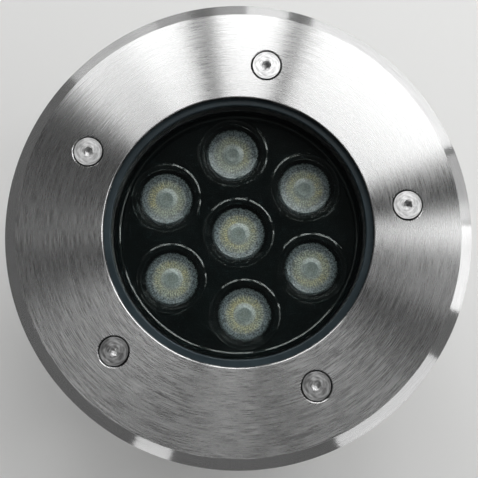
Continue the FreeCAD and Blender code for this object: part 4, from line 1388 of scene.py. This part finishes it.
@dataclass
class LensPack:
    """The black plate with its flared cups, and the seven lenses in their holders.

    The lens's foot, waist, well and front are (radius, height) pairs. The heights are measured
    down from the lens's front.
    """

    finishes: Finishes
    count: int = 7
    plate_thickness: float = 2.2
    plate_round: float = 0.8
    plate_round_steps: int = 6
    skirt: float = 2.0
    cup_small: float = 10.4
    cup_large: float = 10.8
    lip_root: float = 11.95
    lip_crown: Point = (12.15, 12.32)
    lip_radius: float = 12.9
    lip_height: float = 0.24
    border: float = 42.9
    border_slope: float = 0.5
    border_height: float = 0.26
    flange: float = 1.2
    shoulder: float = 8.9
    waist: Point = (7.5, 6.0)
    foot: Point = (4.2, 11.0)
    well: Point = (2.6, 7.0)
    front_steps: tuple[Point, ...] = (
        (10.0, 0.55), (9.5, 0.35), (9.0, 0.0), (8.7, 0.0), (7.3, 0.33), (5.6, 0.48), (4.2, 0.62),
        (3.3, 0.32), (2.5, 0.05), (2.3, 0.05), (1.6, 0.14), (0.9, 0.19), (0.2, 0.2))
    clear: float = 1.0
    plate_rounding: float = 0.05
    plate_sharp: float = 15.0
    holder_rounding: float = 0.06
    lens_rounding: float = 0.12
    lens_sharp: float = 18.0

    def build(self) -> None:
        """Make the plate, then copy one lens into each place."""
        install(self.make_plate(), "lamp", "cover_plate", self.finishes.for_node("cover_plate"))
        model = self.make_lens()
        for number in range(1, self.count + 1):
            node = f"optic_{number}"
            centre = middle_of(node)
            lens = placed_copy(model, f"{node}_finished", centre)
            chart(lens, centre, reach_of(node))
            install(lens, "lamp", node, self.finishes.for_node(node))
            holder = f"lens_holder_{number}"
            install(smoothed_node(holder, self.holder_rounding), "lamp", holder,
                    self.finishes.for_node(holder))
        discard(model)

    def make_plate(self) -> bpy.types.Object:
        """Turn the plate, its skirt and its bead, raise the lips and cut the cups.

        Returns:
            The plate.
        """
        low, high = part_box("cover_plate")
        radius, foot, top = reach_of("cover_plate"), low.z / MM, high.z / MM
        under, crest = top - self.plate_thickness, top + self.border_height
        corner = (radius - self.plate_round, crest - self.plate_round)
        rim = arc(corner, self.plate_round, 0.0, 90.0, self.plate_round_steps)
        plate = turned("cover_plate_finished", [
            (radius - self.skirt, under), (radius - self.skirt, foot), (radius, foot), *rim,
            (self.border, crest), (self.border - self.border_slope, top),
        ], Closing.CAPS, Steps.WIDE)
        centres = [middle_of(f"optic_{number + 1}") for number in range(self.count)]
        fuse(plate, [self.make_lip(centre, under, top) for centre in centres])
        carve(plate, [self.make_cup(centre, under, top) for centre in centres])
        soften(plate, self.plate_rounding, angle=self.plate_sharp)
        return plate

    def make_lip(self, centre: Point, under: float, top: float) -> bpy.types.Object:
        """The low raised lip round one cup, which slopes away from it.

        Args:
            centre: the cup's middle.
            under: the height of the plate's underside.
            top: the height of its face.

        Returns:
            The lip, rooted in the plate.
        """
        crest = top + self.lip_height
        root = (under + top) / 2
        inner_crown, outer_crown = self.lip_crown
        return turned("lip", [
            (self.lip_root, root), (self.lip_radius, root), (self.lip_radius, top),
            (outer_crown, crest), (inner_crown, crest), (self.lip_root, top),
        ], Closing.RING, Steps.MEDIUM, centre)

    def make_cup(self, centre: Point, under: float, top: float) -> bpy.types.Object:
        """The slightly flared shape of one cup.

        Args:
            centre: the cup's middle.
            under: the height of the plate's underside.
            top: the height of its face.

        Returns:
            The shape, which stands clear of the plate at both ends.
        """
        return turned("cup", [(self.cup_small, under - self.clear), (self.cup_small, under),
                              (self.cup_large, top), (self.cup_large, top + self.clear)],
                      Closing.CAPS, Steps.MEDIUM, centre)

    def make_lens(self) -> bpy.types.Object:
        """Turn one lens on the origin's axis, from its well round to the dish in its front.

        Returns:
            The lens.
        """
        front = top_of("optic_1")
        corners = [self.well, (self.well[0], self.foot[1]), self.foot, self.waist,
                   (self.shoulder, self.flange), (reach_of("optic_1"), self.flange),
                   *self.front_steps]
        lens = turned("lens_model", [(out, front - down) for out, down in corners],
                      Closing.CAPS, Steps.MEDIUM)
        soften(lens, self.lens_rounding, angle=self.lens_sharp)
        return lens


@dataclass
class LampBody:
    """The casting, its back cover and its seals and screws."""

    finishes: Finishes
    roundings: dict[str, float] = field(default_factory=lambda: {
        "housing": 0.5, "back_cover": 0.4, "body_ring": 0.0, "back_cover_screws": 0.15})

    def build(self) -> None:
        """Finish a copy of each node, with rounded edges."""
        for node, rounding in self.roundings.items():
            piece = smoothed_node(node, rounding)
            chart(piece, (0.0, 0.0), reach_of(node))
            install(piece, "lamp", node, self.finishes.for_node(node))


@dataclass
class CableGland:
    """The nylon gland under the lamp, with its nuts, washer and seal."""

    finishes: Finishes
    roundings: dict[str, float] = field(default_factory=lambda: {
        "gland_body": 0.25, "gland_nut": 0.3, "gland_locknut": 0.25, "gland_washer": 0.1,
        "gland_seal": 0.1})

    def build(self) -> None:
        """Finish a copy of each node, with rounded edges."""
        for node, rounding in self.roundings.items():
            install(smoothed_node(node, rounding), "lamp", node, self.finishes.for_node(node))


@dataclass
class GroundSleeve:
    """The plastic sleeve that is set into the ground."""

    finishes: Finishes
    rounding: float = 0.4

    def build(self) -> None:
        """Finish a copy of the sleeve, with rounded edges."""
        node = "mounting_sleeve"
        install(smoothed_node(node, self.rounding), "sleeve", node, self.finishes.for_node(node))


@dataclass
class InnerParts:
    """What the lamp holds out of sight: these nodes keep their own shape."""

    finishes: Finishes
    nodes: tuple[str, ...] = (
        *(f"led_{number}" for number in range(1, 8)), "led_board", "thermal_pad", "board_screws",
        "wire_grommet", "output_wire_positive", "output_wire_negative", "driver_case", "driver_potting",
        "driver_screws", "terminal_block", "terminal_clamps", "terminal_screw", "supply_wire_live",
        "supply_wire_neutral", "back_cover_gasket")

    def build(self) -> None:
        """Dress each node."""
        for node in self.nodes:
            dress(frame["nodes"][node], self.finishes.for_node(node))
        log.info("%d inner nodes dressed", len(self.nodes))


# ---------------------------------------------------------------- studio
@dataclass(frozen=True)
class SoftBox:
    """An upright light panel, given by what it covers as seen from the middle of the face."""

    name: str
    start: float
    end: float
    low: float
    high: float
    radiance: float

    def place(self, height: float, distance: float) -> None:
        """Stand the panel round the lamp.

        Args:
            height: the height of the face, in metres.
            distance: how far off the panel stands, in metres.
        """
        width = 2 * distance * math.tan(math.radians((self.end - self.start) / 2))
        foot = distance * math.tan(math.radians(self.low))
        head = distance * math.tan(math.radians(self.high))
        light = bpy.data.lights.new(self.name, "AREA")
        light.shape = "RECTANGLE"
        light.size, light.size_y = width, head - foot
        light.energy = self.radiance * math.pi * width * (head - foot)
        lamp = bpy.data.objects.new(self.name, light)
        bpy.context.scene.collection.objects.link(lamp)
        azimuth = math.radians((self.start + self.end) / 2)
        outward = Vector((math.cos(azimuth), math.sin(azimuth), 0.0))
        lamp.location = distance * outward + Vector((0.0, 0.0, height + (foot + head) / 2))
        lamp.rotation_euler = outward.to_track_quat("Z", "Y").to_euler()
        lamp.visible_camera = False


@dataclass
class Studio:
    """A pale floor, a dim even world and upright softboxes round the lamp.

    The sky's pairs are a direction's upward part and the grey there.
    """

    floor_radius: float = 0.62
    floor_drop: float = 0.0003
    distance: float = 0.9
    sky: tuple[Point, ...] = ((0.0, 0.10), (0.2, 0.14), (0.5, 0.14), (0.95, 0.02))
    boxes: tuple[SoftBox, ...] = (
        SoftBox("key_right", 26.5, 73.0, 15.0, 68.0, 3.3),
        SoftBox("key_top", 78.0, 95.5, 15.0, 68.0, 3.3),
        SoftBox("key_left", 101.5, 116.0, 15.0, 68.0, 3.2),
        SoftBox("fill_left", 116.0, 134.0, 15.0, 68.0, 2.2),
        SoftBox("strip_right", 4.0, 12.0, 15.0, 64.0, 3.7),
        SoftBox("edge_right", -15.0, 4.0, 15.0, 60.0, 0.95),
        SoftBox("low_key", 26.0, 72.0, 0.0, 9.0, 2.3),
        SoftBox("low_top", 78.0, 88.0, 0.0, 9.0, 2.2),
        SoftBox("low_back", 110.0, 134.0, 0.0, 8.0, 0.9),
        SoftBox("low_gap", 7.0, 24.0, 0.0, 9.0, 1.2),
        SoftBox("low_side", -16.0, 6.0, 0.0, 9.0, 2.8),
        SoftBox("low_left", 242.0, 252.0, -1.0, 8.0, 1.9),
        SoftBox("low_right", 297.0, 331.0, -1.0, 8.0, 2.0),
        SoftBox("fill_side", 140.0, 190.0, 30.0, 50.0, 0.14),
        SoftBox("fill_front", 196.0, 236.0, 30.0, 50.0, 0.19),
        SoftBox("fill_near", 250.0, 284.0, 30.0, 50.0, 0.30),
        SoftBox("fill_corner", 306.0, 345.0, 30.0, 50.0, 0.6),
    )

    def build(self, face_height: float) -> None:
        """Lay the floor, light the world and stand the softboxes.

        Args:
            face_height: the height of the lamp's face, in metres.
        """
        self.lay_floor()
        self.light_world()
        for box in self.boxes:
            box.place(face_height, self.distance)
        bpy.context.scene.view_settings.view_transform = "Standard"

    def lay_floor(self) -> None:
        """Lay a round floor just under the sleeve's foot."""
        clear_selection()
        bpy.ops.mesh.primitive_circle_add(
            vertices=Steps.MEDIUM.value, radius=self.floor_radius, fill_type="NGON",
            location=(0.0, 0.0, -self.floor_drop))
        floor = bpy.context.active_object
        floor.name = "studio_floor"
        settle(floor)
        dress(floor, PaleFloor().make())

    def light_world(self) -> None:
        """Light the world in greys that depend on the height in the sky."""
        world = bpy.data.worlds.new("studio")
        world.use_nodes = True
        bench = Bench(world.node_tree)
        direction = bench.add("TexCoord").outputs["Generated"]
        upward = bench.add("SeparateXYZ", {0: direction}).outputs["Z"]
        tone = bench.ramp(upward, [(height, (grey,) * 3) for height, grey in self.sky])
        glow = bench.add("Background", {"Color": tone, "Strength": 1.0})
        bench.add("OutputWorld", {"Surface": glow.outputs[0]})
        bpy.context.scene.world = world


@dataclass(frozen=True)
class PhotographCamera:
    """The photograph's view: close above the face, a little from below in the frame.

    Its place and target are millimetres from the middle of the face. Nothing nearer to it than
    its nearest distance, in millimetres, is drawn.
    """

    place: tuple[float, float, float] = (-0.30, -18.57, 190.97)
    target: tuple[float, float, float] = (0.15, -3.115, 0.0)
    frame_pixels: float = 478.0
    focal_pixels: float = 568.0
    sensor: float = 36.0
    nearest: float = 10.0

    def build(self, face_height: float) -> None:
        """Set up the camera, level with the X axis, and make it the scene's.

        Args:
            face_height: the height of the lamp's face, in metres.
        """
        data = bpy.data.cameras.new("photograph_view")
        data.sensor_width = self.sensor
        data.lens = self.focal_pixels * self.sensor / self.frame_pixels
        data.clip_start = MM * self.nearest
        camera = bpy.data.objects.new("photograph_view", data)
        bpy.context.scene.collection.objects.link(camera)
        eye = MM * Vector(self.place)
        forward = (MM * Vector(self.target) - eye).normalized()
        right = (Vector((1.0, 0.0, 0.0)) - forward.x * forward).normalized()
        up = right.cross(forward)
        axes = Matrix((right, up, -forward)).transposed().to_4x4()
        camera.matrix_world = Matrix.Translation(eye + Vector((0.0, 0.0, face_height))) @ axes
        bpy.context.scene.camera = camera


def main() -> None:
    """Build the lamp's sub-assemblies in order, then the studio around them."""
    logging.basicConfig(level=logging.INFO, format="%(name)s: %(message)s")
    finishes = Finishes()
    face_height = MM * top_of("trim_ring")
    PhotographCamera().build(face_height)
    for assembly in (FaceRing(finishes), GlassSeal(finishes), LensPack(finishes), LampBody(finishes),
                     CableGland(finishes), GroundSleeve(finishes), InnerParts(finishes)):
        assembly.build()
    Studio().build(face_height)


if __name__ == "__main__":
    main()
